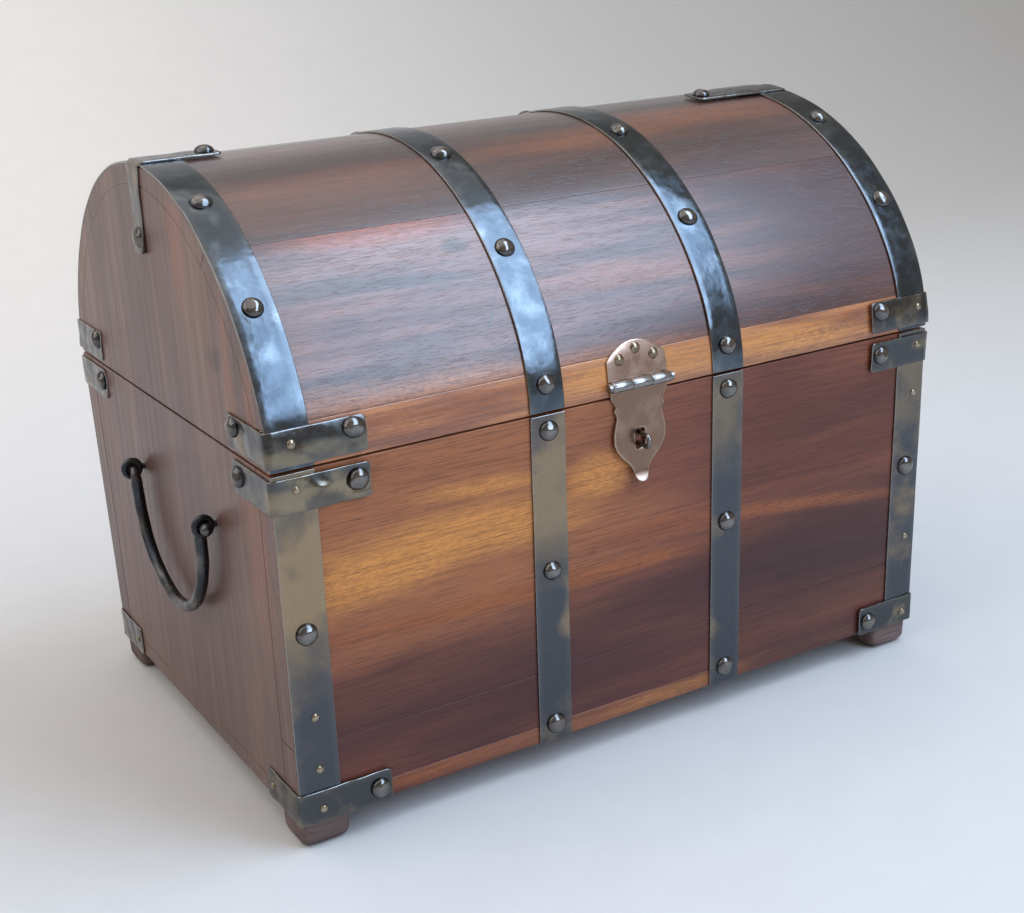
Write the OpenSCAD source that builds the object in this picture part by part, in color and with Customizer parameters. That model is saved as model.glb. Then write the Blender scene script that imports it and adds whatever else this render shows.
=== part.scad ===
// Small wooden coach chest with a barrel lid, iron straps, a hasp and two bail handles.
// Frame: origin on the floor under the middle of the chest, +Z up, -Y the front, +X the right-hand end.

/* [Chest] */
// Width over the two end boards
chest_w = 400; // [380:1:440]
// Depth over the front and back boards at the parting line
chest_d = 287; // [277:1:297]
// Height of the top edge of the box
body_top = 197.5; // [190:0.5:205]
// Angle by which the front and back boards lean in towards the base
lean = 2; // [0:0.5:3]
// Height of the wooden feet
foot_h = 15; // [12:1:18]
// Side of a foot's square plan
foot_w = 27; // [24:1:30]
// Thickness of the front and back boards
board_t = 16; // [14:1:18]
// Thickness of the end boards, in the box and in the lid
end_t = 14; // [12:1:16]
// Thickness of the base board
base_t = 10; // [8:1:12]
// Height of the glued joint between the two front boards
board_joint_z = 56; // [50:1:70]

/* [Lid] */
// Gap between the box and the closed lid
lid_gap = 1; // [0.8:0.1:1.5]
// Rise of the barrel above the lid's lower edge
lid_rise = 124.5; // [120:0.5:130]
// Radius of the tight arc at the front and the back of the barrel
side_r = 95; // [90:1:100]
// Thickness of the barrel boards
stave_t = 10; // [8:1:12]
// Angle at which the front rail meets the front board, on the tight arc
rail_angle = 12.5; // [10:0.5:15]
// Angle at which the front board meets the crown board, on the wide arc
crown_angle = 52.5; // [48:0.5:58]

/* [Iron straps and brackets] */
// Thickness of straps and brackets
iron_t = 1.2; // [1:0.1:1.5]
// Width of the middle straps
strap_w = 20; // [16:1:22]
// Width of the left corner strap
left_strap_w = 22; // [18:1:24]
// Width of the right corner strap
right_strap_w = 20; // [16:1:22]
// Centre of the left middle strap
mid_left_x = -53; // [-60:1:-45]
// Centre of the right middle strap
mid_right_x = 59; // [50:1:65]
// Height of a corner bracket
bracket_h = 17; // [15:0.5:18]
// Length of a left bracket along the front or the back
left_leg = 49; // [45:1:52]
// Length of a right bracket along the front or the back
right_leg = 41; // [38:1:50]
// Length of a bracket along the end board
side_leg = 43.5; // [40:0.5:48]
// Width of the crown brackets
crown_w = 18; // [14:1:20]
// Length of the left and the right crown bracket along the lid
crown_legs = [44, 64]; // [40:1:70]
// Length of a crown bracket down the end board
crown_drop = 45; // [40:1:50]

/* [Nails] */
// Radius of a dome stud's head
stud_r = 5.5; // [4.5:0.1:6]
// Height of a dome stud's head
stud_h = 3.5; // [2.5:0.1:4]
// Radius of a small brass nail's head
nail_r = 2.2; // [1.8:0.1:2.6]
// Height of a small brass nail's head
nail_h = 1.1; // [0.8:0.1:1.4]
// Radius of a stud's or nail's shank
shank_r = 1.1; // [0.9:0.1:1.3]
// Length of a shank below the head
shank_len = 8; // [6:0.5:8]

/* [Hasp] */
// Centre of the hasp
hasp_x = 1.5; // [-5:0.5:5]
// Width of the hasp
hasp_w = 36; // [32:1:40]
// Thickness of the hasp's sheet
hasp_t = 1.2; // [1:0.1:1.5]
// Height of the hasp's pivot
hasp_z = 204; // [203:0.5:206]
// Radius of the hasp's rolled knuckles
knuckle_r = 2.8; // [2.6:0.1:3.2]
// Radius of the hasp's pin
hasp_pin_r = 1.4; // [1.2:0.1:1.5]
// Height of the staple
staple_z = 174; // [172:0.5:176]
// Radius of the staple's wire
staple_wire_r = 1.35; // [1.1:0.05:1.5]
// How far the staple stands out of the front board
staple_out = 11.5; // [10:0.5:12]

/* [Hinges] */
// Distance of each hinge's centre from the middle of the chest
hinge_x = 118; // [110:1:125]
// Width of a hinge
hinge_w = 38; // [30:1:44]
// Height of a hinge's leaf
leaf_h = 17; // [14:1:20]
// Radius of a hinge's knuckles
hinge_r = 3.2; // [3:0.1:3.6]
// Radius of a hinge's pin
hinge_pin_r = 1.5; // [1.3:0.1:1.7]

/* [Handles] */
// Height of the handles' pivots
handle_z = 151; // [140:1:160]
// Middle of a handle along the end board
handle_y = -7; // [-12:1:12]
// Distance of a pivot from the end board
handle_out = 7; // [6.5:0.5:8]
// Radius of the bow, at the middle of the rod
bail_r = 50; // [44:1:54]
// Radius of the rod
rod_r = 3.2; // [2.8:0.1:3.4]
// Radius of the turned-out ends that pivot in the eyes
pivot_r = 2.3; // [2:0.1:2.5]

/* [Hidden] */
$fn = 96;
eps = 0.01;
fit = 0.05;
touch = 0.05;
overcut = 2;
mid_gap_z = body_top + lid_gap / 2;
lid_z = body_top + lid_gap;
floor_z = foot_h + base_t;
hw = chest_w / 2;
hd = chest_d / 2;
lean_t = board_t / cos(lean);

// The barrel is a three-centred arch: side_r at the springing, top_r over the crown.
side_y = hd - side_r;
side_rise = lid_rise - side_r;
arch_drop = (side_y * side_y - side_rise * side_rise) / (2 * side_rise);
top_r = lid_rise + arch_drop;
blend_angle = atan2(arch_drop, side_y);
top_c = lid_z - arch_drop;

// Straps: centre and width of each column, left to right.
columns = [
    [-hw + left_strap_w / 2, left_strap_w],
    [mid_left_x, strap_w],
    [mid_right_x, strap_w],
    [hw - right_strap_w / 2, right_strap_w],
];
legs = [left_leg, right_leg];
stud_inset = 6.5;
corner_nail_inset = [11.5, 7];
bracket_top_z = body_top - 2;
lid_bracket_z = lid_z + 2.5;
over_iron = iron_t + touch;

// Heights of the studs and nails on the leaning faces.
stud_top_z = 189.2;
stud_mid_z = 113.5;
stud_low_z = 25;
corner_nails_z = [[43.5, 72], [71, 160.5]];
corner_stud_z = stud_mid_z + 3;
bracket_stud_z = bracket_top_z - 7.5;
bracket_nail_z = bracket_stud_z + 1.5;
low_bracket_stud_z = foot_h + 8;
low_bracket_nail_z = low_bracket_stud_z - 1;
crown_stud_z = lid_z + lid_rise - crown_drop + 8.5;

// Angles of the studs on the barrel, measured at the wide arc's centre, and of the ones on the tight arc.
crown_studs = [42.7, 70.8, 109.2, 137.3];
corner_studs = [39.3, 65.2, 114.8, 140.7];
rail_stud_angle = 8.5;
corner_nail_angle = rail_stud_angle - 1;
// The lid's iron starts a hair above the parting line.
iron_start_angle = 0.3;
lid_stud_z = lid_z + side_r * sin(rail_stud_angle);

hasp_y = hd + knuckle_r + 0.4;
hinge_y = hd + hinge_r + 0.3;
hasp_top_z = 225;
hasp_top_r = 22.5;
leaf_tip_r = 3.9;
crown_y = [-1, -14];

screw_r = 3;
screw_h = 1.4;
screw_slot = 0.6;
hinge_screw_angle = 6.5;
hinge_screw_z = body_top - 10;
knuckle_play = 0.15;

// Half the depth of the box at height z: the front and back boards lean in below the parting line.
function half_d(z) = hd - (body_top - z) * tan(lean);
function sign_of(side) = side == 0 ? -1 : 1;

// ---- Helpers for the leaning faces ----

// A slab from x0 to x1 and z0 to z1, lying on the front board and standing t out of it.
module face_slab(x0, x1, z0, z1, t) {
    translate([x0, 0, 0]) rotate([90, 0, 90]) linear_extrude(x1 - x0)
        polygon([[-half_d(z0), z0], [-half_d(z0) - t, z0], [-half_d(z1) - t, z1], [-half_d(z1), z1]]);
}

// A place on the front board at x and height z, with +Z pointing straight out of the board.
module on_front(x, z) {
    translate([x, -half_d(z), z]) rotate([90 + lean, 0, 0]) children();
}

// A place on an end board, with +Z pointing straight out of it.
module on_end(side, y, z) {
    translate([sign_of(side) * hw, y, z]) rotate([0, sign_of(side) * 90, 0]) children();
}

// A place on the barrel at x and an angle measured from the front springing, with +Z pointing out.
module on_barrel(x, angle, on_top = true) {
    c = on_top ? [0, top_c] : [-side_y, lid_z];
    r = on_top ? top_r : side_r;
    translate([x, c[0] - r * cos(angle), c[1] + r * sin(angle)]) rotate([90 - angle, 0, 0]) children();
}

module front_and_back() {
    children();
    mirror([0, 1, 0]) children();
}

// ---- Fasteners ----

// A cap cut from a sphere: a head of radius r and height h, sitting on z = 0.
module cap(r, h) {
    ball_r = (r * r + h * h) / (2 * h);
    rotate_extrude() intersection() {
        translate([0, h - ball_r]) circle(ball_r);
        square([r + 1, h + 1]);
    }
}

// A stud or a nail whose head sits on iron of thickness t over the wood, or the hole that it needs.
module fastener(is_stud, t, hole) {
    if (hole) translate([0, 0, t - shank_len - fit]) cylinder(h = shank_len + 1, r = shank_r + fit);
    else {
        translate([0, 0, t + touch]) cap(is_stud ? stud_r : nail_r, is_stud ? stud_h : nail_h);
        translate([0, 0, t - shank_len]) cylinder(h = shank_len + touch + eps, r = shank_r);
    }
}

// Each list below holds places of fasteners as [x or y, height or angle, is it a stud, iron under its head].
two_irons = iron_t + over_iron;
function corner_x(side, from_corner) = sign_of(side) * (hw - from_corner);

front_places = [
    for (x = [mid_left_x, mid_right_x], z = [stud_top_z, stud_mid_z, stud_low_z]) [x, z, true, iron_t],
    for (side = [0, 1]) each [
        [columns[side * 3][0], corner_stud_z, true, iron_t],
        for (z = corner_nails_z[side]) [corner_x(side, corner_nail_inset[side]), z, false, iron_t],
        for (z = [bracket_stud_z, low_bracket_stud_z])
            [corner_x(side, legs[side] - stud_inset), z, true, two_irons],
        for (z = [bracket_nail_z, low_bracket_nail_z])
            [corner_x(side, corner_nail_inset[side]), z, false, two_irons],
    ],
];
side_y_in = hd - side_leg + stud_inset;
end_places = [
    for (s = [-1, 1]) each [
        [s * side_y_in, bracket_stud_z, true, iron_t],
        [s * side_y_in, low_bracket_stud_z, false, iron_t],
    ],
];
function lid_end_places(side) = [
    for (s = [-1, 1]) [s * side_y_in, lid_stud_z, true, iron_t],
    [crown_y[side], crown_stud_z, true, iron_t],
];
// On the wide arc, left to right.
wide_places = [
    for (x = [mid_left_x, mid_right_x], a = crown_studs) [x, a, true, iron_t + touch],
    for (side = [0, 1]) each [
        for (a = corner_studs) [columns[side * 3][0], a, true, iron_t + touch],
        [corner_x(side, crown_legs[side] - stud_inset), acos(-crown_y[side] / top_r), true,
         two_irons + touch],
    ],
];
// On the tight arc at the front; the back has the same.
tight_places = [
    for (x = [mid_left_x, mid_right_x]) [x, rail_stud_angle, true, iron_t + touch],
    for (side = [0, 1]) each [
        [corner_x(side, legs[side] - stud_inset), rail_stud_angle, true, two_irons + touch],
        [corner_x(side, corner_nail_inset[side]), corner_nail_angle, false, two_irons + touch],
    ],
];

function within(v, range) = v > range[0] && v < range[1];
everywhere = [-1000, 1000];

module front_fasteners(hole = false, kind = undef, xs = everywhere, zs = everywhere) {
    for (p = front_places) if (within(p[0], xs) && within(p[1], zs) && (is_undef(kind) || p[2] == kind))
        on_front(p[0], p[1]) fastener(p[2], p[3], hole);
}

module end_fasteners(side, hole = false, kind = undef, ys = everywhere, zs = everywhere) {
    for (p = end_places) if (within(p[0], ys) && within(p[1], zs) && (is_undef(kind) || p[2] == kind))
        on_end(side, p[0], p[1]) fastener(p[2], p[3], hole);
}

module lid_end_fasteners(side, hole = false, ys = everywhere) {
    for (p = lid_end_places(side)) if (within(p[0], ys)) on_end(side, p[0], p[1]) fastener(p[2], p[3], hole);
}

module wide_fasteners(hole = false, xs = everywhere, angles = everywhere) {
    for (p = wide_places) if (within(p[0], xs) && within(p[1], angles))
        on_barrel(p[0], p[1]) fastener(p[2], p[3], hole);
}

module tight_fasteners(hole = false, kind = undef, xs = everywhere) {
    for (p = tight_places) if (within(p[0], xs) && (is_undef(kind) || p[2] == kind))
        on_barrel(p[0], p[1], false) fastener(p[2], p[3], hole);
}

module body_studs() color("dimgray") {
    front_and_back() front_fasteners(kind = true);
    for (side = [0, 1]) end_fasteners(side, kind = true);
}
module body_nails() color("darkgoldenrod") {
    front_and_back() front_fasteners(kind = false);
    for (side = [0, 1]) end_fasteners(side, kind = false);
}
module lid_studs() color("dimgray") {
    wide_fasteners();
    front_and_back() tight_fasteners(kind = true);
    for (side = [0, 1]) lid_end_fasteners(side);
}
module lid_nails() color("darkgoldenrod") front_and_back() tight_fasteners(kind = false);

// ---- The box ----

// A slab of the front board between two heights, inside the face by the board's thickness.
module board_slab(z0, z1) {
    translate([-hw, 0, 0]) rotate([90, 0, 90]) linear_extrude(chest_w)
        polygon([
            [-half_d(z0), z0], [-half_d(z0) + lean_t, z0],
            [-half_d(z1) + lean_t, z1], [-half_d(z1), z1],
        ]);
}

module base_board() color("saddlebrown") difference() {
    translate([-hw, 0, 0]) rotate([90, 0, 90]) linear_extrude(chest_w)
        polygon([
            [-half_d(foot_h), foot_h], [half_d(foot_h), foot_h],
            [half_d(floor_z), floor_z], [-half_d(floor_z), floor_z],
        ]);
    front_and_back() front_fasteners(true, zs = [0, floor_z + overcut]);
    for (side = [0, 1]) end_fasteners(side, true, zs = [0, floor_z + overcut]);
}

module front_board_upper() color("brown") difference() {
    board_slab(board_joint_z, body_top);
    front_fasteners(true, zs = [board_joint_z, body_top]);
    staple_wire(fit);
}

module front_board_lower() color("maroon") difference() {
    board_slab(floor_z, board_joint_z);
    front_fasteners(true, zs = [floor_z - overcut, board_joint_z]);
}

module back_board() color("brown") difference() {
    mirror([0, 1, 0]) {
        difference() {
            board_slab(floor_z, body_top);
            front_fasteners(true, zs = [floor_z - overcut, body_top]);
        }
    }
    hinge_screw_places(false) screw(true);
}

module end_board(side) {
    low = half_d(floor_z) - lean_t;
    high = half_d(body_top) - lean_t;
    color("rosybrown") difference() {
        translate([side == 0 ? -hw : hw - end_t, 0, 0]) rotate([90, 0, 90]) linear_extrude(end_t)
            polygon([[-low, floor_z], [low, floor_z], [high, body_top], [-high, body_top]]);
        end_fasteners(side, true, zs = [floor_z, body_top]);
        eye_shanks(fit);
    }
}

// A foot: a square block whose lower edges are rounded over.
module foot(x_sign, y_sign) {
    round_r = 5;
    x0 = x_sign > 0 ? hw - foot_w : -hw;
    y0 = y_sign > 0 ? half_d(foot_h) - foot_w : -half_d(foot_h);
    color("sienna") translate([x0 + foot_w / 2, y0 + foot_w / 2, 0]) intersection() {
        rotate([90, 0, 0]) linear_extrude(foot_w, center = true) foot_outline(round_r);
        rotate([90, 0, 90]) linear_extrude(foot_w, center = true) foot_outline(round_r);
    }
}

module foot_outline(r) {
    translate([-foot_w / 2, r]) square([foot_w, foot_h - r]);
    translate([-foot_w / 2 + r, 0]) square([foot_w - 2 * r, foot_h]);
    for (s = [-1, 1]) translate([s * (foot_w / 2 - r), r]) circle(r);
}

// ---- Iron on the box ----

module body_strap(column, mirrored) {
    c = columns[column];
    x0 = c[0] - c[1] / 2;
    x1 = c[0] + c[1] / 2;
    color("slategray") mirror([0, mirrored, 0]) difference() {
        face_slab(x0, x1, foot_h, body_top - eps, iron_t);
        front_fasteners(true, xs = [x0, x1]);
    }
}

// An L-shaped bracket round a corner of the box, from z0 up to z0 + bracket_h, over the corner strap.
module body_bracket(side, mirrored, z0) {
    z1 = z0 + bracket_h;
    leg_end = corner_x(side, legs[side]);
    corner = corner_x(side, -iron_t);
    x0 = min(leg_end, corner);
    x1 = max(leg_end, corner);
    color("slategray") mirror([0, mirrored, 0]) difference() {
        union() {
            translate([0, -over_iron, 0]) face_slab(x0, x1, z0, z1, iron_t);
            translate([min(corner, corner_x(side, 0)), 0, 0]) rotate([90, 0, 90]) linear_extrude(iron_t)
                polygon([
                    [-half_d(z0) - two_irons, z0], [-hd + side_leg, z0],
                    [-hd + side_leg, z1], [-half_d(z1) - two_irons, z1],
                ]);
        }
        front_fasteners(true, xs = [x0, x1], zs = [z0, z1]);
        end_fasteners(side, true, ys = [-hd, 0], zs = [z0, z1]);
    }
}

// ---- The barrel ----

// A slice of pie between two angles, big enough to cut the arch.
module pie(a0, a1) {
    reach = 2 * top_r;
    steps = 8;
    angles = [for (i = [0:steps]) a0 + (a1 - a0) * i / steps];
    polygon([[0, 0], for (a = angles) [-reach * cos(a), reach * sin(a)]]);
}

// The band of the arch between two distances inside its outer line, in the plane of an end board.
// A negative distance lies outside it. Angles run from the front springing, over the top, to the back.
module wide_band(o0, o1, a0, a1) {
    translate([0, top_c]) intersection() {
        difference() {
            circle(top_r - o0);
            circle(top_r - o1);
        }
        pie(a0, a1);
    }
}

module tight_band(o0, o1, a0, a1) {
    translate([-side_y, lid_z]) intersection() {
        difference() {
            circle(side_r - o0);
            circle(side_r - o1);
        }
        pie(a0, a1);
    }
}

// The whole arch, filled, at a distance inside its outer line, above the lid's lower edge.
module arch(o) {
    intersection() {
        union() {
            translate([0, top_c]) intersection() {
                circle(top_r - o);
                pie(blend_angle, 180 - blend_angle);
            }
            for (m = [0, 1]) mirror([m, 0]) translate([-side_y, lid_z]) intersection() {
                circle(side_r - o);
                pie(-1, blend_angle);
            }
        }
        translate([-hd, lid_z]) square([2 * hd, 2 * lid_rise]);
    }
}

module along_x(x0, x1) {
    translate([x0, 0, 0]) rotate([90, 0, 90]) linear_extrude(x1 - x0) children();
}

module lid_end(side) color("rosybrown") difference() {
    along_x(side == 0 ? -hw : hw - end_t, side == 0 ? -hw + end_t : hw) arch(stave_t);
    lid_end_fasteners(side, true);
}

module lid_front_rail() color("peru") difference() {
    along_x(-hw, hw) tight_band(0, stave_t, 0, rail_angle);
    tight_fasteners(true);
    hasp_screw_places() screw(true);
}

module lid_front_board() color("brown") difference() {
    along_x(-hw, hw) front_board_band();
    wide_fasteners(true, angles = [blend_angle, crown_angle]);
    hasp_screw_places() screw(true);
}

module lid_crown_board(a0, a1) color("maroon") difference() {
    along_x(-hw, hw) wide_band(0, stave_t, a0, a1);
    wide_fasteners(true, angles = [a0 - overcut, a1 + overcut]);
}

module lid_back_board() color("brown") difference() {
    along_x(-hw, hw) mirror([1, 0]) {
        tight_band(0, stave_t, 0, rail_angle);
        front_board_band();
    }
    wide_fasteners(true, angles = [180 - crown_angle, 180 - blend_angle]);
    mirror([0, 1, 0]) tight_fasteners(true);
    hinge_screw_places(true) screw(true);
}

module front_board_band() {
    tight_band(0, stave_t, rail_angle, blend_angle);
    wide_band(0, stave_t, blend_angle, crown_angle);
}

module lid_strap(column) {
    c = columns[column];
    x0 = c[0] - c[1] / 2;
    x1 = c[0] + c[1] / 2;
    color("slategray") difference() {
        along_x(x0, x1) {
            wide_band(-over_iron, -touch, blend_angle, 180 - blend_angle);
            for (m = [0, 1]) mirror([m, 0]) tight_band(-over_iron, -touch, iron_start_angle, blend_angle);
        }
        wide_fasteners(true, xs = [x0, x1]);
        front_and_back() tight_fasteners(true, xs = [x0, x1]);
    }
}

// An L-shaped bracket round a lower corner of the lid, over the corner strap.
module lid_bracket(side, mirrored) {
    low = asin((lid_bracket_z - lid_z) / side_r);
    high = asin((lid_bracket_z + bracket_h - lid_z) / side_r);
    inner = over_iron + touch;
    leg_end = corner_x(side, legs[side]);
    corner = corner_x(side, -iron_t);
    end_x = corner_x(side, 0);
    x0 = min(leg_end, corner);
    x1 = max(leg_end, corner);
    color("slategray") mirror([0, mirrored, 0]) difference() {
        union() {
            along_x(x0, x1) tight_band(-inner - iron_t, -inner, low, high);
            along_x(min(end_x, corner), max(end_x, corner)) intersection() {
                translate([-side_y, lid_z]) circle(side_r + inner + iron_t);
                translate([-2 * hd + side_leg, lid_bracket_z]) square([hd, bracket_h]);
            }
        }
        tight_fasteners(true, xs = [x0, x1]);
        lid_end_fasteners(side, true, ys = [-hd, -hd / 2]);
    }
}

// A bracket from the top of the barrel, over the corner strap, down the end board.
module crown_bracket(side) {
    inner = over_iron + touch;
    leg_end = corner_x(side, crown_legs[side]);
    corner = corner_x(side, -iron_t);
    end_x = corner_x(side, 0);
    left = crown_y[side] - crown_w / 2;
    x0 = min(leg_end, corner);
    x1 = max(leg_end, corner);
    color("slategray") difference() {
        union() {
            along_x(x0, x1) intersection() {
                wide_band(-inner - iron_t, -inner, crown_angle, 180 - crown_angle);
                translate([left, lid_z]) square([crown_w, 2 * lid_rise]);
            }
            along_x(min(end_x, corner), max(end_x, corner)) intersection() {
                translate([0, top_c]) circle(top_r + inner + iron_t);
                translate([left, lid_z + lid_rise - crown_drop]) square([crown_w, 2 * crown_drop]);
            }
        }
        wide_fasteners(true, xs = [x0, x1], angles = [80, 100]);
        lid_end_fasteners(side, true, ys = [left, left + crown_w]);
    }
}

// ---- Screws, hinges and pins ----

// A small round-headed screw with a slot, or the hole that it needs.
module screw(hole = false) {
    head_z = hasp_t + 2 * touch;
    tip_z = hasp_t - shank_len;
    if (hole) translate([0, 0, tip_z - fit]) cylinder(h = shank_len + screw_r, r = shank_r + fit);
    else difference() {
        union() {
            translate([0, 0, head_z]) cap(screw_r, screw_h);
            translate([0, 0, tip_z]) cylinder(h = head_z - tip_z + eps, r = shank_r);
        }
        translate([-screw_r, -screw_slot / 2, head_z + screw_h - screw_slot])
            cube([2 * screw_r, screw_slot, screw_h]);
    }
}

// The screws of the two hinges: two in each leaf, on the box or on the lid.
module hinge_screw_places(on_lid) {
    for (s = [-1, 1], x = [-hinge_w / 4, hinge_w / 4]) mirror([0, 1, 0])
        if (on_lid) on_barrel(s * hinge_x + x, hinge_screw_angle, false) children();
        else on_front(s * hinge_x + x, hinge_screw_z) children();
}

module hinge_body_screws() color("darkgoldenrod") hinge_screw_places(false) screw();
module hinge_lid_screws() color("darkgoldenrod") hinge_screw_places(true) screw();

// Rolled knuckles on a pin along X: sections i of n equal ones, each a little short of its place.
module knuckles(w, r, pin_r, sections, n) {
    step = w / n;
    for (i = sections) translate([-w / 2 + i * step + knuckle_play, 0, 0]) rotate([0, 90, 0]) difference() {
        cylinder(h = step - 2 * knuckle_play, r = r);
        translate([0, 0, -overcut]) cylinder(h = step + 2 * overcut, r = pin_r + fit);
    }
}

// The space to cut from a sheet: its sections make room for the other leaf's knuckles, and a thinner core
// along the whole width makes room for the pin.
module knuckle_room(w, r, sections, n) {
    gap = 2 * knuckle_play;
    core_r = r - 0.5;
    rotate([0, 90, 0]) {
        for (i = sections) translate([0, 0, -w / 2 + i * w / n - knuckle_play])
            cylinder(h = w / n + gap, r = r + gap);
        translate([0, 0, -w / 2 - overcut]) cylinder(h = w + 2 * overcut, r = core_r);
    }
}

// A pin with a flat head at each end.
module pin(w, pin_r) {
    head_t = 1.8;
    head_r = pin_r + 0.8;
    rotate([0, 90, 0]) {
        translate([0, 0, -w / 2 - head_t / 2]) cylinder(h = w + head_t, r = pin_r);
        for (z = [-w / 2 - head_t, w / 2]) translate([0, 0, z]) cylinder(h = head_t, r = head_r);
    }
}

module at_hinges() {
    for (s = [-1, 1]) translate([s * hinge_x, hinge_y, mid_gap_z]) children();
}

module hinge_body_leaves() color("darkkhaki") {
    difference() {
        for (x = [-hinge_x, hinge_x]) mirror([0, 1, 0])
            face_slab(x - hinge_w / 2, x + hinge_w / 2, body_top - leaf_h, body_top, iron_t);
        at_hinges() knuckle_room(hinge_w, hinge_r, [1], 3);
        hinge_screw_places(false) screw(true);
    }
    at_hinges() knuckles(hinge_w, hinge_r, hinge_pin_r, [0, 2], 3);
}

module hinge_lid_leaves() color("darkkhaki") {
    difference() {
        for (x = [-hinge_x, hinge_x]) along_x(x - hinge_w / 2, x + hinge_w / 2) mirror([1, 0])
            tight_band(-over_iron, -touch, iron_start_angle, asin(leaf_h / side_r));
        at_hinges() knuckle_room(hinge_w, hinge_r, [0, 2], 3);
        hinge_screw_places(true) screw(true);
    }
    at_hinges() knuckles(hinge_w, hinge_r, hinge_pin_r, [1], 3);
}

module hinge_pins() color("gray") at_hinges() pin(hinge_w, hinge_pin_r);

// ---- Hasp and staple ----

module at_hasp() {
    translate([hasp_x, -hasp_y, hasp_z]) children();
}

// Two screws low at the sides of the plate and one high in its middle.
module hasp_screw_places() {
    for (p = [[-10.5, 12.5], [0, 17], [10.5, 12.5]])
        on_barrel(hasp_x + p[0], asin((hasp_z + p[1] - lid_z) / side_r), false) children();
}

// The plate on the lid: straight sides under a low round top, curved to the barrel.
module hasp_plate() color("tan") {
    difference() {
        intersection() {
            along_x(hasp_x - hasp_w / 2, hasp_x + hasp_w / 2)
                tight_band(-hasp_t - touch, -touch, 0, blend_angle);
            translate([hasp_x, 0, 0]) rotate([90, 0, 0]) linear_extrude(2 * hd) intersection() {
                translate([-hasp_w / 2, hasp_z]) square([hasp_w, hasp_w]);
                translate([0, hasp_top_z - hasp_top_r]) circle(hasp_top_r);
            }
        }
        at_hasp() knuckle_room(hasp_w, knuckle_r, [1], 3);
        hasp_screw_places() screw(true);
    }
    at_hasp() knuckles(hasp_w, knuckle_r, hasp_pin_r, [0, 2], 3);
}

module hasp_screws() color("tan") hasp_screw_places() screw();
module hasp_pin() color("silver") at_hasp() pin(hasp_w, hasp_pin_r);

// The outline of the leaf below its knuckle: shoulders, two nicks each side, a round belly and a small tip.
module leaf_outline() {
    shoulder_w = hasp_w - 1;
    shoulder_h = 9;
    neck_w = hasp_w - 7;
    belly_r = hasp_w / 2 - 2;
    belly_z = staple_z - hasp_z;
    tip_z = belly_z - 19;
    tip_r = leaf_tip_r;
    nick_r = 3.2;
    nicks_z = [-10.5, -16];
    slant = 38;
    difference() {
        union() {
            translate([-shoulder_w / 2, -shoulder_h]) square([shoulder_w, shoulder_h]);
            translate([-neck_w / 2, belly_z]) square([neck_w, -belly_z - shoulder_h]);
            translate([0, belly_z]) circle(belly_r);
            polygon([
                [-belly_r * cos(slant), belly_z - belly_r * sin(slant)],
                [belly_r * cos(slant), belly_z - belly_r * sin(slant)],
                [tip_r * cos(slant), tip_z - tip_r * sin(slant)],
                [-tip_r * cos(slant), tip_z - tip_r * sin(slant)],
            ]);
            translate([0, tip_z]) circle(tip_r);
        }
        for (s = [-1, 1], z = nicks_z) translate([s * shoulder_w / 2, z]) circle(nick_r);
        leaf_slot(belly_z);
    }
}

// An upright slot with round ends, for the staple.
module leaf_slot(z) {
    slot_r = 3.2;
    half = 2.6;
    for (s = [-1, 1]) translate([0, z + s * half]) circle(slot_r);
    translate([-slot_r, z - half]) square([2 * slot_r, 2 * half]);
}

// The leaf over the staple; a short lip at its tip turns outwards for the finger.
module hasp_leaf() color("tan") {
    back = knuckle_r - hasp_t;
    lip_z = staple_z - hasp_z - 20.5;
    lip_h = 4;
    lip_w = 2 * leaf_tip_r - 1;
    lip_angle = 40;
    at_hasp() {
        difference() {
            translate([0, back + hasp_t, 0]) rotate([90, 0, 0]) linear_extrude(hasp_t) leaf_outline();
            knuckle_room(hasp_w, knuckle_r, [0, 2], 3);
        }
        knuckles(hasp_w, knuckle_r, hasp_pin_r, [1], 3);
        translate([0, back + hasp_t / 2, lip_z]) rotate([-lip_angle, 0, 0])
            translate([-lip_w / 2, -hasp_t / 2, -lip_h]) cube([lip_w, hasp_t, lip_h + 0.5]);
    }
}

// The staple's wire: two legs through the board and a half ring outside it.
module staple_wire(grow = 0) {
    loop_r = 3;
    legs_out = staple_out - loop_r - staple_wire_r;
    legs_in = board_t - 2;
    on_front(hasp_x, staple_z) {
        for (s = [-1, 1]) translate([0, s * loop_r, -legs_in])
            cylinder(h = legs_out + legs_in, r = staple_wire_r + grow);
        if (grow == 0) translate([0, 0, legs_out]) rotate([0, -90, 0]) rotate([0, 0, -90])
            rotate_extrude(angle = 180) translate([loop_r, 0]) circle(staple_wire_r);
    }
}

module staple() color("silver") staple_wire();

// ---- Handles ----

module eye_places() {
    for (side = [0, 1], s = [-1, 1]) mirror([1 - side, 0, 0])
        translate([hw + handle_out, handle_y + s * (bail_r + 6), handle_z]) children();
}

module eye_shanks(grow) {
    eye_shank_r = 1.6;
    start = 4;
    eye_places() rotate([0, -90, 0]) translate([0, 0, start])
        cylinder(h = handle_out + end_t - 2 - start, r = eye_shank_r + grow);
}

// Four eyes: a round ring on a shank driven into the end board.
module handle_eyes() color("black") {
    ring_r = 4.2;
    wire_r = 2;
    bore_half = 1.5;
    eye_places() rotate([90, 0, 0]) rotate_extrude() {
        intersection() {
            translate([ring_r, 0]) circle(wire_r);
            translate([pivot_r + fit, -wire_r]) square([2 * ring_r, 2 * wire_r]);
        }
        translate([pivot_r + fit, -bore_half]) square([ring_r - pivot_r, 2 * bore_half]);
    }
    eye_shanks(0);
}

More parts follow.
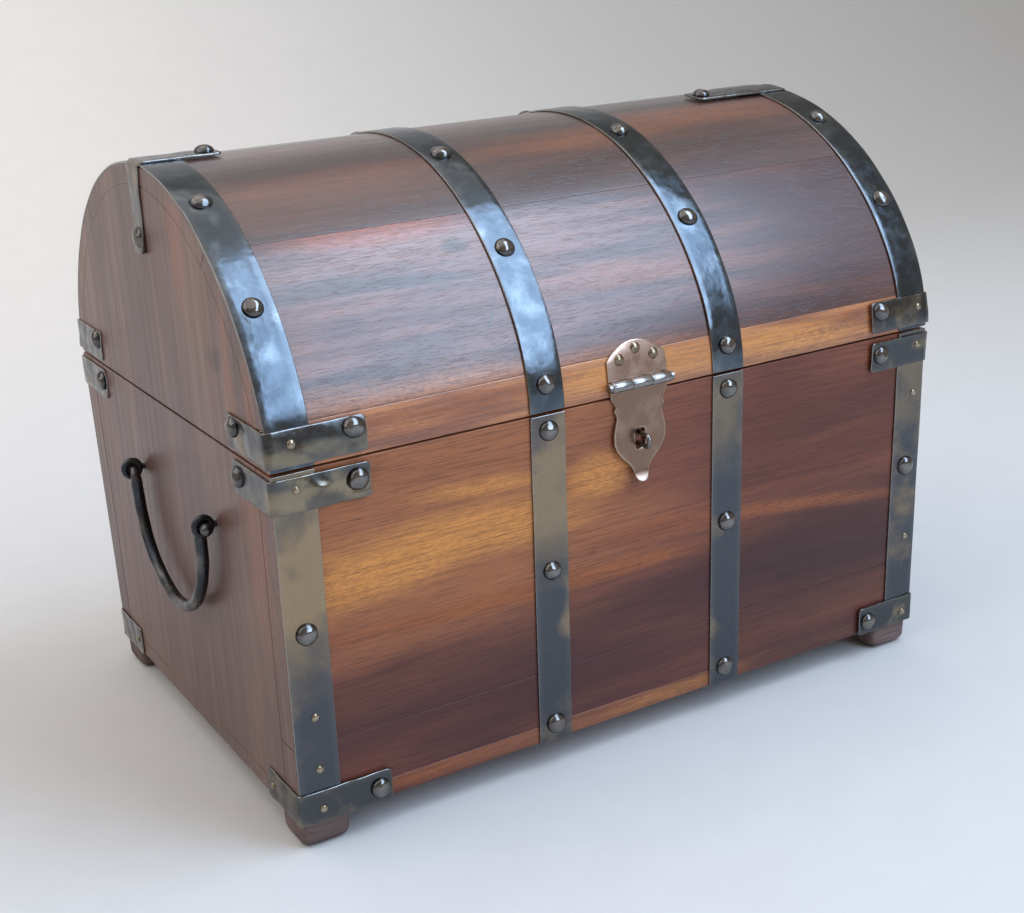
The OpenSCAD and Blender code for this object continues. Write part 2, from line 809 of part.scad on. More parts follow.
// A handle: a rod bent to a bow, its ends turned out through the eyes and finished with a ball.
module handle(side) {
    leg = 10;
    end_len = 11;
    ball_r = 3.3;
    color("black") translate([sign_of(side) * (hw + handle_out), handle_y, handle_z]) {
        translate([0, 0, -leg]) rotate([0, 90, 0]) rotate([0, 0, -90])
            rotate_extrude(angle = 180) translate([bail_r, 0]) circle(rod_r);
        for (s = [-1, 1]) translate([0, s * bail_r, 0]) {
            translate([0, 0, -leg]) cylinder(h = leg, r = rod_r);
            sphere(rod_r);
            rotate([-s * 90, 0, 0]) cylinder(h = end_len, r = pivot_r);
            translate([0, s * (end_len + 0.5), 0]) sphere(ball_r);
        }
    }
}

base_board();
front_board_upper();
front_board_lower();
back_board();
end_board(0);  // left_end_board
end_board(1);  // right_end_board
foot(-1, -1);  // foot_front_left
foot(1, -1);  // foot_front_right
foot(-1, 1);  // foot_back_left
foot(1, 1);  // foot_back_right
body_strap(0, 0);  // front_strap_left
body_strap(1, 0);  // front_strap_mid_left
body_strap(2, 0);  // front_strap_mid_right
body_strap(3, 0);  // front_strap_right
body_strap(0, 1);  // back_strap_left
body_strap(1, 1);  // back_strap_mid_left
body_strap(2, 1);  // back_strap_mid_right
body_strap(3, 1);  // back_strap_right
body_bracket(0, 0, bracket_top_z - bracket_h);  // top_bracket_front_left
body_bracket(1, 0, bracket_top_z - bracket_h);  // top_bracket_front_right
body_bracket(0, 1, bracket_top_z - bracket_h);  // top_bracket_back_left
body_bracket(1, 1, bracket_top_z - bracket_h);  // top_bracket_back_right
body_bracket(0, 0, foot_h);  // base_bracket_front_left
body_bracket(1, 0, foot_h);  // base_bracket_front_right
body_bracket(0, 1, foot_h);  // base_bracket_back_left
body_bracket(1, 1, foot_h);  // base_bracket_back_right
body_studs();
body_nails();
staple();
hinge_body_leaves();
hinge_pins();
hinge_body_screws();
handle_eyes();
lid_end(0);  // lid_end_left
lid_end(1);  // lid_end_right
lid_front_rail();
lid_front_board();
lid_crown_board(crown_angle, 90);  // lid_crown_front
lid_crown_board(90, 180 - crown_angle);  // lid_crown_back
lid_back_board();
lid_strap(0);  // lid_strap_left
lid_strap(1);  // lid_strap_mid_left
lid_strap(2);  // lid_strap_mid_right
lid_strap(3);  // lid_strap_right
lid_bracket(0, 0);  // lid_bracket_front_left
lid_bracket(1, 0);  // lid_bracket_front_right
lid_bracket(0, 1);  // lid_bracket_back_left
lid_bracket(1, 1);  // lid_bracket_back_right
crown_bracket(0);  // crown_bracket_left
crown_bracket(1);  // crown_bracket_right
lid_studs();
lid_nails();
hinge_lid_leaves();
hinge_lid_screws();
hasp_plate();
hasp_screws();
hasp_pin();
hasp_leaf();
handle(0);  // handle_left
handle(1);  // handle_right
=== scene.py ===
# %% [markdown]
# # A small coach chest in mahogany and iron
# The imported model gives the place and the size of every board, strap and nail. It stays as it is, and this
# script builds the looks round it: planed boards with soft edges, beaten iron, domed studs, varnish and
# patina.

# %% Load the frame
import math

import bmesh
import bpy
import numpy as np
from mathutils import Matrix, Vector


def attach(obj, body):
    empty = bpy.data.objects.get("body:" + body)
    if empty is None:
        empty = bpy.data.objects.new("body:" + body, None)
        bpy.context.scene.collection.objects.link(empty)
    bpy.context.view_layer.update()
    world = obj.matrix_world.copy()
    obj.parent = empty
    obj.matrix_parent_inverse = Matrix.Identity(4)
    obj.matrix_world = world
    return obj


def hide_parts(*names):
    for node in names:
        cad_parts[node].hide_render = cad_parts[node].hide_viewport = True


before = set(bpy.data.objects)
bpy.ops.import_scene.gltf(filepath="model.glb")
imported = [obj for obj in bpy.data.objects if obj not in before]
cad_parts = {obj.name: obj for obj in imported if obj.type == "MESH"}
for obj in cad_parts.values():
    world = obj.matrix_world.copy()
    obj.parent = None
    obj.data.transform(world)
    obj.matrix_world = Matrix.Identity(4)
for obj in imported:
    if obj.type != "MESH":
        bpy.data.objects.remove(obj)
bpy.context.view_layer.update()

MM = 0.001

# %% [markdown]
# ## The shape of the chest
# The box has leaning front and back boards. The lid is a three-centred arch: a tight arc rises from each
# long edge and a wide one runs over the crown. A point on it is found from the angle of its outward normal,
# so one function serves the staves, the straps and the brackets.

# %% Sizes in millimetres
HALF_W = 200.0
HALF_D = 143.5
BODY_TOP = 197.5
LEAN = math.radians(2)
FOOT_H = 15.0
FLOOR_Z = 25.0
BOARD_T = 16.0
END_T = 14.0
JOINT_Z = 56.0
LID_Z = 198.5
LID_RISE = 124.5
SIDE_R = 95.0
STAVE_T = 10.0
IRON_T = 1.2
TOUCH = 0.05
BRACKET_H = 17.0
LEGS = {-1: 49.0, 1: 41.0}
SIDE_LEG = 43.5

side_y = HALF_D - SIDE_R
side_rise = LID_RISE - SIDE_R
arch_drop = (side_y**2 - side_rise**2) / (2 * side_rise)
top_r = LID_RISE + arch_drop
top_c = LID_Z - arch_drop
blend = math.atan2(arch_drop, side_y)
print(f"wide arc {top_r:.1f} mm, arcs meet at {math.degrees(blend):.1f} degrees")


# %% Points on the box and on the barrel
def half_depth(z):
    """Half the depth of the box at height z: it shrinks by the tangent of the lean below the top edge."""
    return HALF_D - (BODY_TOP - z) * math.tan(LEAN)


def barrel(angle, out):
    """(y, z) on the arch: the centre of the arc that this normal belongs to, plus radius times normal."""
    angle = np.asarray(angle, float)
    tight = (angle < blend) | (angle > math.pi - blend)
    centre_y = np.where(tight, -np.sign(np.cos(angle)) * side_y, 0.0)
    centre_z = np.where(tight, LID_Z, top_c)
    radius = np.where(tight, SIDE_R, top_r) + out
    return centre_y - radius * np.cos(angle), centre_z + radius * np.sin(angle)


ARC_STEPS = np.cumsum([0, SIDE_R * blend, top_r * (math.pi - 2 * blend), SIDE_R * blend])
ARC_ANGLES = np.array([0, blend, math.pi - blend, math.pi])


def arc_angle(length):
    """The normal's angle at a length along the arch: it grows by length over radius on each arc."""
    return np.interp(length, ARC_STEPS, ARC_ANGLES)


print(f"the arch is {ARC_STEPS[-1]:.0f} mm long from edge to edge")

# %% [markdown]
# ## Turning arrays into pieces
# Every shape below is worked out as whole arrays of points, then handed to Blender once. A grid of points
# is joined by quads, and grids of one piece are simply stacked. The finished object sits at the origin with
# its place in its mesh, rides on its CAD body and hides the CAD node that it replaces.


# %% Grids and pieces
def grid_faces(rows, columns, wrap_rows=False, wrap_columns=False):
    """Quads of a grid: each joins a point, the next in its row and the two below, wrapping where asked."""
    i = np.arange(rows if wrap_rows else rows - 1)[:, None]
    j = np.arange(columns if wrap_columns else columns - 1)[None, :]
    i2, j2 = (i + 1) % rows, (j + 1) % columns
    quads = [i * columns + j, i * columns + j2, i2 * columns + j2, i2 * columns + j]
    return np.stack([np.broadcast_to(q, (i.size, j.size)) for q in quads], -1).reshape(-1, 4)


def stack(parts):
    """Joins (points, faces, wear_and_sheen) parts into one, moving each one's face numbers past the points
    before.
    """
    points, faces, wear_and_sheen, start = [], [], [], 0
    for part_points, part_faces, part_wear_and_sheen in parts:
        points.append(np.asarray(part_points, float).reshape(-1, 3))
        faces += [tuple(int(k) + start for k in face) for face in part_faces]
        wear_and_sheen.append(np.broadcast_to(part_wear_and_sheen, len(points[-1])))
        start += len(points[-1])
    return np.concatenate(points), faces, np.concatenate(wear_and_sheen)


made = []


def make_piece(name, body, nodes, material, parts, flat_faces=False, others=None):
    """Builds a mesh in metres from its parts, turns its faces outwards, and ties it to the frame. `others` is
    a second material and the number of the first face that takes it."""
    points, faces, wear_and_sheen = stack(parts)
    mesh = bpy.data.meshes.new(name)
    mesh.from_pydata((points * MM).tolist(), [], faces)
    layer = mesh.attributes.new("wear_and_sheen", "FLOAT", "POINT")
    layer.data.foreach_set("value", np.ascontiguousarray(wear_and_sheen, np.float32))
    work = bmesh.new()
    work.from_mesh(mesh)
    bmesh.ops.recalc_face_normals(work, faces=work.faces)
    work.to_mesh(mesh)
    work.free()
    mesh.polygons.foreach_set("use_smooth", np.ones(len(mesh.polygons), bool))
    piece = bpy.data.objects.new(name, mesh)
    bpy.context.scene.collection.objects.link(piece)
    piece.data.materials.append(material)
    if others:
        piece.data.materials.append(others[0])
        later = np.arange(len(mesh.polygons)) >= others[1]
        mesh.polygons.foreach_set("material_index", later.astype(np.int32))
    if flat_faces:
        piece.modifiers.new("even shading", "WEIGHTED_NORMAL").weight = 100
    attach(piece, body)
    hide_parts(*nodes)
    made.append(piece)
    return piece


# %% [markdown]
# ## Mixing finishes from nodes
# A finish is a few layers of noise. This helper adds nodes and hands back their outputs, so that a material
# reads like a recipe. All patterns live in Object coordinates, which here are the chest's own, in metres.


# %% A small kit for materials
class Finish:
    """One material's node tree. Each method adds a node and returns the socket that comes out of it."""

    def __init__(self, name):
        self.material = bpy.data.materials.new(name)
        self.material.use_nodes = True
        self.tree = self.material.node_tree
        self.shader = self.tree.nodes["Principled BSDF"]
        self.here = self.add("ShaderNodeTexCoord").outputs["Object"]

    def add(self, kind, **settings):
        node = self.tree.nodes.new(kind)
        for key, value in settings.items():
            setattr(node, key, value)
        return node

    def feed(self, socket, value):
        if isinstance(value, bpy.types.NodeSocket):
            self.tree.links.new(value, socket)
        else:
            socket.default_value = value

    def mapped(self, scale, turn=(0, 0, 0), shift=(0, 0, 0), kind="POINT"):
        node = self.add("ShaderNodeMapping", vector_type=kind)
        self.feed(node.inputs["Vector"], self.here)
        node.inputs["Location"].default_value = shift
        node.inputs["Rotation"].default_value = [math.radians(a) for a in turn]
        node.inputs["Scale"].default_value = scale
        return node.outputs[0]

    def noise(self, vector, scale, detail=2.0, rough=0.5, warp=0.0):
        node = self.add("ShaderNodeTexNoise")
        self.feed(node.inputs["Vector"], vector)
        node.inputs["Scale"].default_value = scale
        node.inputs["Detail"].default_value = detail
        node.inputs["Roughness"].default_value = rough
        node.inputs["Distortion"].default_value = warp
        return node.outputs["Fac"]

    def spread(self, value, low, high, out_low=0.0, out_high=1.0):
        node = self.add("ShaderNodeMapRange", interpolation_type="SMOOTHSTEP")
        self.feed(node.inputs[0], value)
        for k, v in enumerate((low, high, out_low, out_high)):
            node.inputs[k + 1].default_value = v
        return node.outputs[0]

    def sums(self, operation, a, b):
        node = self.add("ShaderNodeMath", operation=operation)
        self.feed(node.inputs[0], a)
        self.feed(node.inputs[1], b)
        return node.outputs[0]

    def mix(self, share, a, b, blend_type="MIX"):
        node = self.add("ShaderNodeMix", data_type="RGBA", blend_type=blend_type)
        self.feed(node.inputs[0], share)
        self.feed(node.inputs[6], a if isinstance(a, bpy.types.NodeSocket) else (*a, 1))
        self.feed(node.inputs[7], b if isinstance(b, bpy.types.NodeSocket) else (*b, 1))
        return node.outputs[2]

    def ramp(self, value, stops):
        node = self.add("ShaderNodeValToRGB")
        ramp = node.color_ramp
        while len(ramp.elements) < len(stops):
            ramp.elements.new(0.5)
        for element, (place, colour) in zip(ramp.elements, stops):
            element.position, element.color = place, (*colour, 1)
        self.feed(node.inputs[0], value)
        return node.outputs[0]

    def zone(self, centre, size, turn=0.0, wobble=0.0, soft=0.35):
        """1 inside an ellipsoid in mm, fading to 0 round it, with an outline that noise pushes in and out."""
        flat = self.mapped([s * MM for s in size], (0, turn, 0), [c * MM for c in centre], "TEXTURE")
        length = self.add("ShaderNodeVectorMath", operation="LENGTH")
        self.feed(length.inputs[0], flat)
        reach = length.outputs["Value"]
        if wobble:
            push = self.noise(self.mapped((9, 60, 60), shift=(centre[0], 0, centre[2])), 1.0, 3.0)
            reach = self.sums("ADD", reach, self.sums("MULTIPLY", self.sums("SUBTRACT", push, 0.5), wobble))
        return self.spread(reach, 1 + soft, 1 - soft)

    def bump(self, height, depth, strength=1.0, below=None):
        node = self.add("ShaderNodeBump")
        node.inputs["Strength"].default_value = strength
        node.inputs["Distance"].default_value = depth * MM
        self.feed(node.inputs["Height"], height)
        if below is not None:
            self.feed(node.inputs["Normal"], below)
        return node.outputs[0]

    def wear_and_sheen(self):
        node = self.add("ShaderNodeAttribute", attribute_name="wear_and_sheen")
        return node.outputs["Fac"]

    def set(self, **values):
        for key, value in values.items():
            self.feed(self.shader.inputs[key.replace("_", " ")], value)


print("finish kit ready")

# %% [markdown]
# ## Mahogany under varnish
# The wood is a red tropical hardwood. Broad bands of colour follow the grain, finer streaks run inside
# them, and short open pores break the surface. Where the fibres wave, the board flashes gold in rippled
# patches. Stretching one noise along the grain at four scales gives the first three, and soft zones with a
# ripple of short dashes give the last. A clear coat carries the varnish's own, sharper gloss: it is thick
# on the lid, worn thin on the box and gone from the feet.

# %% The wood recipe
ALONG_X, ALONG_Z = (1, 0, 0), (0, 0, 1)
# How far each pattern reaches over the grain and along it, in mm.
STREAK, FIBRE, PORE, DASH, WAVE = (5.0, 110), (0.9, 34), (0.42, 10), (1.1, 3.6), (14, 90)
FIBRE_TONE, FIBRE_DARK, PORE_DARK = 0.09, 0.34, 0.30
RELIEF, WAVE_RELIEF = 0.08, 0.5


def wood(name, dark, middle, light, along=ALONG_X, seed=0.0, tilt=0.0, broad=30.0, streaks=0.16, rough=0.42,
         coat=0.2, shine=0.3, glows=(), marks=()):
    """Grain noise at four scales, mixed into a colour ramp. Glows are rippled zones and marks are plain ones:
    each has a centre and half sizes in mm, a turn in degrees, a paint and the paint's share."""
    f = Finish(name)
    run = np.array(along)

    def grain(across, length, shift=0.0):
        """Noise coordinates in which one unit is `across` mm over the grain and `length` mm along it."""
        scale = (run / length + (1 - run) / across) / MM
        return f.mapped(scale, (tilt, 0, 0), (seed + shift, seed * 0.7 - shift, seed * 1.3))

    bands = f.noise(grain(broad, broad * 6.5), 1.0, 3.0, 0.5, 0.6)
    streak = f.noise(grain(*STREAK, 3.0), 1.0, 3.0, 0.55, 0.4)
    fine = f.noise(grain(*FIBRE, 7.0), 1.0, 3.0, 0.6)
    pores = f.noise(grain(*PORE, 11.0), 1.0, 1.0, 0.5)
    tone = f.sums("ADD", f.sums("MULTIPLY", bands, 1 - streaks), f.sums("MULTIPLY", streak, streaks))
    tone = f.sums("ADD", tone, f.sums("MULTIPLY", f.sums("SUBTRACT", fine, 0.5), FIBRE_TONE))
    colour = f.ramp(f.spread(tone, 0.32, 0.68), [(0.0, dark), (0.48, middle), (1.0, light)])
    for centre, size, turn, paint, share in marks:
        colour = f.mix(f.sums("MULTIPLY", f.zone(centre, size, turn, 1.2, 0.6), share), colour, paint)
    ripple = f.spread(f.noise(grain(*DASH, 5.0), 1.0, 2.0, 0.6), 0.36, 0.60)
    for centre, size, turn, paint, share in glows:
        place = f.sums("MULTIPLY", f.zone(centre, size, turn, 1.5, 0.6), share)
        flash = f.sums("MULTIPLY", place, f.sums("ADD", f.sums("MULTIPLY", ripple, 0.45), 0.55))
        colour = f.mix(flash, colour, paint)
    pits = f.spread(pores, 0.58, 0.68)
    colour = f.mix(f.sums("MULTIPLY", pits, PORE_DARK), colour, tuple(c * 0.35 for c in dark))
    between = f.sums("MULTIPLY", f.spread(fine, 0.56, 0.34), FIBRE_DARK)
    colour = f.mix(between, colour, tuple(c * 0.5 for c in dark))
    height = f.sums("SUBTRACT", f.sums("MULTIPLY", fine, 0.7), f.sums("MULTIPLY", pits, 0.9))
    relief = f.bump(height, RELIEF, 0.45, f.bump(f.noise(grain(*WAVE, 2.0), 1.0, 1.0), WAVE_RELIEF, 0.3))
    dull = f.spread(streak, 0.3, 0.7, rough + 0.06, rough - 0.06)
    f.set(Base_Color=colour, Roughness=dull, Normal=relief, Coat_Normal=relief)
    f.shader.inputs["Coat Weight"].default_value = coat
    f.shader.inputs["Coat Roughness"].default_value = 0.22
    f.shader.inputs["Specular IOR Level"].default_value = shine
    return f.material


# %% The boards' own colours
GOLD = (0.66, 0.27, 0.065)
AMBER = (0.33, 0.100, 0.032)
RUST = (0.370, 0.135, 0.055)
WINE = (0.072, 0.021, 0.022)
UMBER = (0.035, 0.013, 0.012)
front_wood = wood(
    "front_wood", (0.080, 0.024, 0.022), (0.165, 0.050, 0.032), (0.29, 0.092, 0.042), seed=2.0,
    marks=[
        ((-110, -142, 155), (130, 60, 66), 0, RUST, 0.9),
        ((40, -142, 165), (70, 60, 26), 0, (0.19, 0.054, 0.030), 0.6),
        ((0, -140, 62), (330, 60, 34), 0, WINE, 0.72),
        ((140, -140, 80), (90, 60, 32), 0, (0.042, 0.016, 0.018), 0.8),
        ((140, -140, 150), (80, 60, 44), 0, (0.105, 0.028, 0.020), 0.75),
        ((103, -138, 69), (7, 30, 2), 0, UMBER, 0.7),
    ],
    glows=[
        ((-146, -142, 140), (58, 60, 14), -2, GOLD, 1.0),
        ((-88, -142, 147), (46, 60, 11), 4, GOLD, 0.95),
        ((-88, -142, 167), (36, 60, 4.5), 4, GOLD, 0.8),
        ((-22, -142, 157), (19, 60, 12), 2, GOLD, 0.85),
        ((-60, -142, 105), (125, 60, 4.5), 1, AMBER, 0.95),
        ((110, -142, 111), (62, 60, 4.0), 7, AMBER, 0.8),
        ((20, -142, 120), (30, 60, 5), 4, AMBER, 0.5),
    ],
)
base_wood = wood(
    "base_wood", (0.075, 0.025, 0.021), (0.15, 0.050, 0.032), (0.25, 0.090, 0.045), seed=9.0,
    glows=[((-135, -138, 20), (34, 40, 4), 0, AMBER, 0.6), ((25, -138, 20), (38, 40, 4), 0, GOLD, 0.35)],
)
end_wood = wood(
    "end_wood", (0.100, 0.052, 0.044), (0.135, 0.069, 0.057), (0.180, 0.091, 0.068), along=ALONG_Z, seed=14.0,
    tilt=14, broad=46.0, streaks=0.05, rough=0.46, coat=0.25, shine=0.5,
    glows=[((-200, -52, 288), (40, 10, 26), 0, AMBER, 0.55), ((-200, -104, 228), (40, 6, 40), 0, AMBER, 0.65),
           ((-200, -128, 232), (40, 5, 34), 0, AMBER, 0.5)],
    marks=[((-200, -89, 241), (40, 9, 6), 0, UMBER, 0.55), ((-200, -118, 150), (40, 14, 60), 0, RUST, 0.4),
           ((-200, 20, 80), (40, 90, 55), 0, (0.110, 0.044, 0.033), 0.7)],
)
foot_wood = wood(
    "foot_wood", (0.080, 0.050, 0.046), (0.145, 0.100, 0.092), (0.23, 0.165, 0.150), seed=21.0, rough=0.7,
    coat=0.0,
)
rail_wood = wood(
    "rail_wood", (0.17, 0.054, 0.030), (0.38, 0.130, 0.048), (0.62, 0.250, 0.080), seed=27.0, broad=12.0,
    streaks=0.35, rough=0.36, coat=0.9, shine=0.5,
    glows=[
        ((-8, -140, 208), (50, 40, 9), 0, GOLD, 0.9), ((100, -140, 208), (50, 40, 8), 0, GOLD, 0.85),
        ((-115, -140, 209), (60, 40, 7), 0, AMBER, 0.8),
    ],
    marks=[((40, -140, 206), (22, 40, 8), 0, (0.20, 0.062, 0.034), 0.6)],
)
barrel_wood = wood(
    "barrel_wood", (0.045, 0.016, 0.016), (0.105, 0.034, 0.027), (0.20, 0.072, 0.042), seed=33.0, broad=18.0,
    streaks=0.3, rough=0.34, coat=1.0, shine=0.5,
    glows=[
        ((-110, -88, 290), (52, 20, 6), 0, (0.36, 0.085, 0.045), 0.85),
        ((10, -122, 255), (80, 30, 6), 0, AMBER, 0.5),
        ((-120, -141, 221), (70, 20, 10), 0, (0.50, 0.200, 0.085), 0.8),
        ((-30, -141, 219), (60, 20, 5), 0, (0.45, 0.170, 0.070), 0.7),
    ],
    marks=[
        ((155, -110, 262), (66, 50, 46), 0, (0.050, 0.016, 0.017), 0.85),
        ((-78, -104, 279), (6, 8, 3), 0, UMBER, 0.85),
        ((-72, -125, 250), (1.0, 20, 14), 35, UMBER, 0.75),
    ],
)
crown_wood = wood(
    "crown_wood", (0.034, 0.014, 0.013), (0.055, 0.022, 0.019), (0.10, 0.036, 0.026), seed=41.0, rough=0.38,
    coat=1.0, shine=0.5,
    glows=[((40, -50, 318), (70, 14, 10), 0, AMBER, 0.5), ((130, -38, 320), (60, 14, 10), 0, AMBER, 0.5),
           ((-120, -60, 312), (60, 12, 8), 0, (0.20, 0.050, 0.032), 0.6)],
)
print("seven woods mixed")

# %% [markdown]
# ## Iron, bronze and brass
# The straps are thin iron, blackened and then rubbed by years of hands. The dark skin keeps a blue-grey
# sheen, the rubbed places turn a brassy olive, and the edges are worn bright. On the lid straps the pale
# blue-grey patches are painted reflection that stands in for the cool window's sheen. Cloudy noise places
# the burnish and these patches, zones put more burnish where hands reach, and the pieces carry a wear value
# that is 1 along their rims; on the handles the same value carries painted highlight bands.


# %% The metal recipe
GRIT, GLOSS_SPOT, DENT = 1.3, 7, 11
SCRATCH_SCALE, SCRATCH_TURN, SCRATCH_DEPTH = (900, 900, 90), (12, 20, 0), 0.03
GRIT_DARK = 0.35


def metal(name, skin, rubbed_and_sheen, edge, amount=0.5, seed=0.0, rough=(0.22, 0.42), cloud=30.0, zones=(),
          dents=0.25):
    """Mixes a skin colour and a second colour, burnish on most metals and painted reflection on the lid
    straps, by clouds of a size in mm and by zones of extra burnish (centre, half sizes, share), brightens by
    the value on the points, which is 1 on rims polished by use and gives painted highlight bands on the
    handles, and adds scratches and dents of a depth in mm."""
    f = Finish(name)

    def even(size, shift=(0, 0, 0)):
        """Noise coordinates in which one unit is `size` mm in every direction."""
        return f.mapped((1 / (size * MM),) * 3, shift=shift)

    clouds = f.noise(even(cloud, (seed, -seed, seed * 2)), 1.0, 3.0, 0.5, 0.25)
    grit = f.noise(even(GRIT, (seed, seed, 0)), 1.0, 2.0, 0.6)
    patch = f.spread(f.sums("ADD", clouds, f.sums("MULTIPLY", f.sums("SUBTRACT", grit, 0.5), 0.12)),
                     0.58 - 0.24 * amount, 0.86 - 0.24 * amount)
    for centre, size, share in zones:
        place = f.zone(centre, size, 0, 1.0, 0.5)
        cloudy = f.spread(clouds, 0.32, 0.58, 0.25, 1.0)
        patch = f.sums("MAXIMUM", patch, f.sums("MULTIPLY", f.sums("MULTIPLY", place, cloudy), share))
    colour = f.mix(patch, skin, rubbed_and_sheen)
    specks = f.sums("MULTIPLY", f.spread(grit, 0.62, 0.74), GRIT_DARK)
    colour = f.mix(specks, colour, tuple(c * 0.5 for c in skin))
    worn_and_sheen = f.sums("MULTIPLY", f.wear_and_sheen(), f.spread(grit, 0.35, 0.6, 0.7, 0.95))
    colour = f.mix(worn_and_sheen, colour, edge)
    dull = f.spread(f.noise(even(GLOSS_SPOT, (0, seed, 5)), 1.0, 3.0, 0.6), 0.3, 0.7, *rough)
    scratches = f.noise(f.mapped(SCRATCH_SCALE, SCRATCH_TURN), 1.0, 2.0)
    waves = f.bump(f.noise(even(DENT), 1.0, 2.0), dents, 0.5)
    f.set(Base_Color=colour, Roughness=dull, Normal=f.bump(scratches, SCRATCH_DEPTH, 0.5, waves))
    f.shader.inputs["Metallic"].default_value = 1.0
    return f.material


# %% The metals' own colours
BLACK_IRON = (0.090, 0.098, 0.112)
OLIVE = (0.34, 0.255, 0.160)
PALE_IRON = (0.34, 0.33, 0.31)
strap_iron = metal(
    "strap_iron", BLACK_IRON, OLIVE, PALE_IRON, amount=0.30, seed=3.0, rough=(0.20, 0.36),
    zones=[
        ((-189, -142, 150), (40, 30, 50), 1.0), ((-53, -142, 160), (30, 30, 40), 0.85),
        ((59, -142, 172), (30, 30, 28), 0.5), ((190, -142, 168), (30, 30, 24), 0.5),
    ],
)
# Painted reflection: the lid straps' pale blue-grey second colour stands in for the cool window's sheen, laid
# out as cloudy patches.
lid_iron = metal(
    "lid_iron", (0.078, 0.094, 0.112), (0.155, 0.180, 0.200), PALE_IRON, amount=0.45, seed=8.0,
    rough=(0.12, 0.24), cloud=16.0, dents=0.4,
)
bracket_iron = metal(
    "bracket_iron", (0.085, 0.090, 0.096), (0.30, 0.245, 0.165), PALE_IRON, amount=0.32, seed=12.0,
    rough=(0.12, 0.28), cloud=18.0, dents=1.0,
    zones=[((-175, -146, 184), (34, 30, 6), 0.9), ((-175, -146, 205), (34, 30, 5), 0.7)],
)
stud_iron = metal(
    "stud_iron", (0.085, 0.086, 0.092), (0.21, 0.185, 0.15), (0.30, 0.28, 0.26), amount=0.35, seed=17.0,
    rough=(0.08, 0.20), cloud=5.0,
)
brass_nail = metal(
    "brass_nail", (0.20, 0.155, 0.10), (0.40, 0.33, 0.23), (0.50, 0.44, 0.34), seed=23.0, rough=(0.2, 0.35),
    cloud=3.0,
)
plate_bronze = metal(
    "plate_bronze", (0.38, 0.245, 0.185), (0.54, 0.38, 0.30), (0.66, 0.55, 0.46), seed=29.0,
    rough=(0.22, 0.34), cloud=14.0, dents=0.08,
)
leaf_bronze = metal(
    "leaf_bronze", (0.24, 0.150, 0.105), (0.33, 0.225, 0.170), (0.55, 0.46, 0.38), amount=0.45, seed=30.0,
    rough=(0.24, 0.36), cloud=16.0, dents=0.08, zones=[((1.5, -146, 151), (6, 12, 4), 1.0)],
)
hinge_bronze = metal("hinge_bronze", (0.14, 0.11, 0.075), (0.38, 0.29, 0.17), (0.5, 0.42, 0.3), seed=31.0)
handle_iron = metal(
    "handle_iron", (0.050, 0.054, 0.062), (0.13, 0.112, 0.092), (0.22, 0.20, 0.18), amount=0.35, seed=37.0,
    cloud=8.0,
)
bright_steel = metal(
    "bright_steel", (0.21, 0.20, 0.19), (0.42, 0.40, 0.375), (0.60, 0.58, 0.55), seed=43.0,
    rough=(0.18, 0.32), cloud=4.0,
)
print("ten metals mixed")

# %% [markdown]
# ## Planed boards
# Every board is an outline in the plane of the chest's end, carried along its length. A plane and years of
# use have taken the arrises off, so each outline's corners are rounded, and the outline also shrinks by the
# same curve over the last fraction of a millimetre at both ends. Edges like these catch the light and draw
# the joints.


# %% Boards from outlines
def soften(outline, radius, bend=0.35):
    """Rounds an outline's sharp corners: each becomes a quadratic curve between points set back by radius."""
    before, after = np.roll(outline, 1, 0) - outline, np.roll(outline, -1, 0) - outline
    to_before = before / np.linalg.norm(before, axis=1, keepdims=True)
    to_after = after / np.linalg.norm(after, axis=1, keepdims=True)
    sharp = np.einsum("ij,ij->i", to_before, to_after) > -math.cos(bend)
    back = radius * sharp[:, None]
    t = np.linspace(0, 1, 5)[None, :, None]
    start, end = (outline + back * to_before)[:, None], (outline + back * to_after)[:, None]
    curve = (1 - t) ** 2 * start + 2 * t * (1 - t) * outline[:, None] + t**2 * end
    keep = np.ones((len(outline), 5), bool)
    keep[~sharp, 1:] = False
    return curve[keep]


def outward(outline):
    """Unit normals of a closed outline: its tangent turned a quarter, pointing away from the inside."""
    tangent = np.roll(outline, -1, 0) - np.roll(outline, 1, 0)
    tangent /= np.linalg.norm(tangent, axis=1, keepdims=True)
    y, z = outline.T
    area = np.sum(y * np.roll(z, -1) - np.roll(y, -1) * z)
    return np.stack([tangent[:, 1], -tangent[:, 0]], 1) * (1 if area > 0 else -1)


def ladder(count):
    """Quads over the inside of a ring with an even count: rungs join point k to the k-th from last."""
    k = np.arange(count // 2 - 1)
    return np.stack([k, k + 1, count - 2 - k, count - 1 - k], 1)


def board(outline, x0, x1, edge=0.7):
    """Carries the softened outline from x0 to x1; near each end it draws in along a quarter circle."""
    outline = soften(np.asarray(outline, float), edge)
    normal = outward(outline)
    turn = np.linspace(0, math.pi / 2, 4)
    along, inwards = edge * (1 - np.cos(turn)), edge * (1 - np.sin(turn))
    xs = np.concatenate([x0 + along, x1 - along[::-1]])
    rings = outline[None] - np.concatenate([inwards, inwards[::-1]])[:, None, None] * normal[None]
    points = np.concatenate([np.broadcast_to(xs[:, None, None], (len(xs), len(outline), 1)), rings], 2)
    count = len(outline)
    caps = [ladder(count), ladder(count)[:, ::-1] + (len(xs) - 1) * count]
    faces = np.concatenate([grid_faces(len(xs), count, wrap_columns=True), *caps])
    return points.reshape(-1, 3), faces, 0.0


def arc_band(a0, a1, outer, inner, steps=28):
    """A stave's outline: the arch between two angles at one depth, and back again at the other."""
    angles = np.linspace(a0, a1, steps)
    return np.concatenate([
        np.stack(barrel(angles, -outer), 1), np.stack(barrel(angles[::-1], -inner), 1),
    ])


# %% The box's boards
lean_t = BOARD_T / math.cos(LEAN)


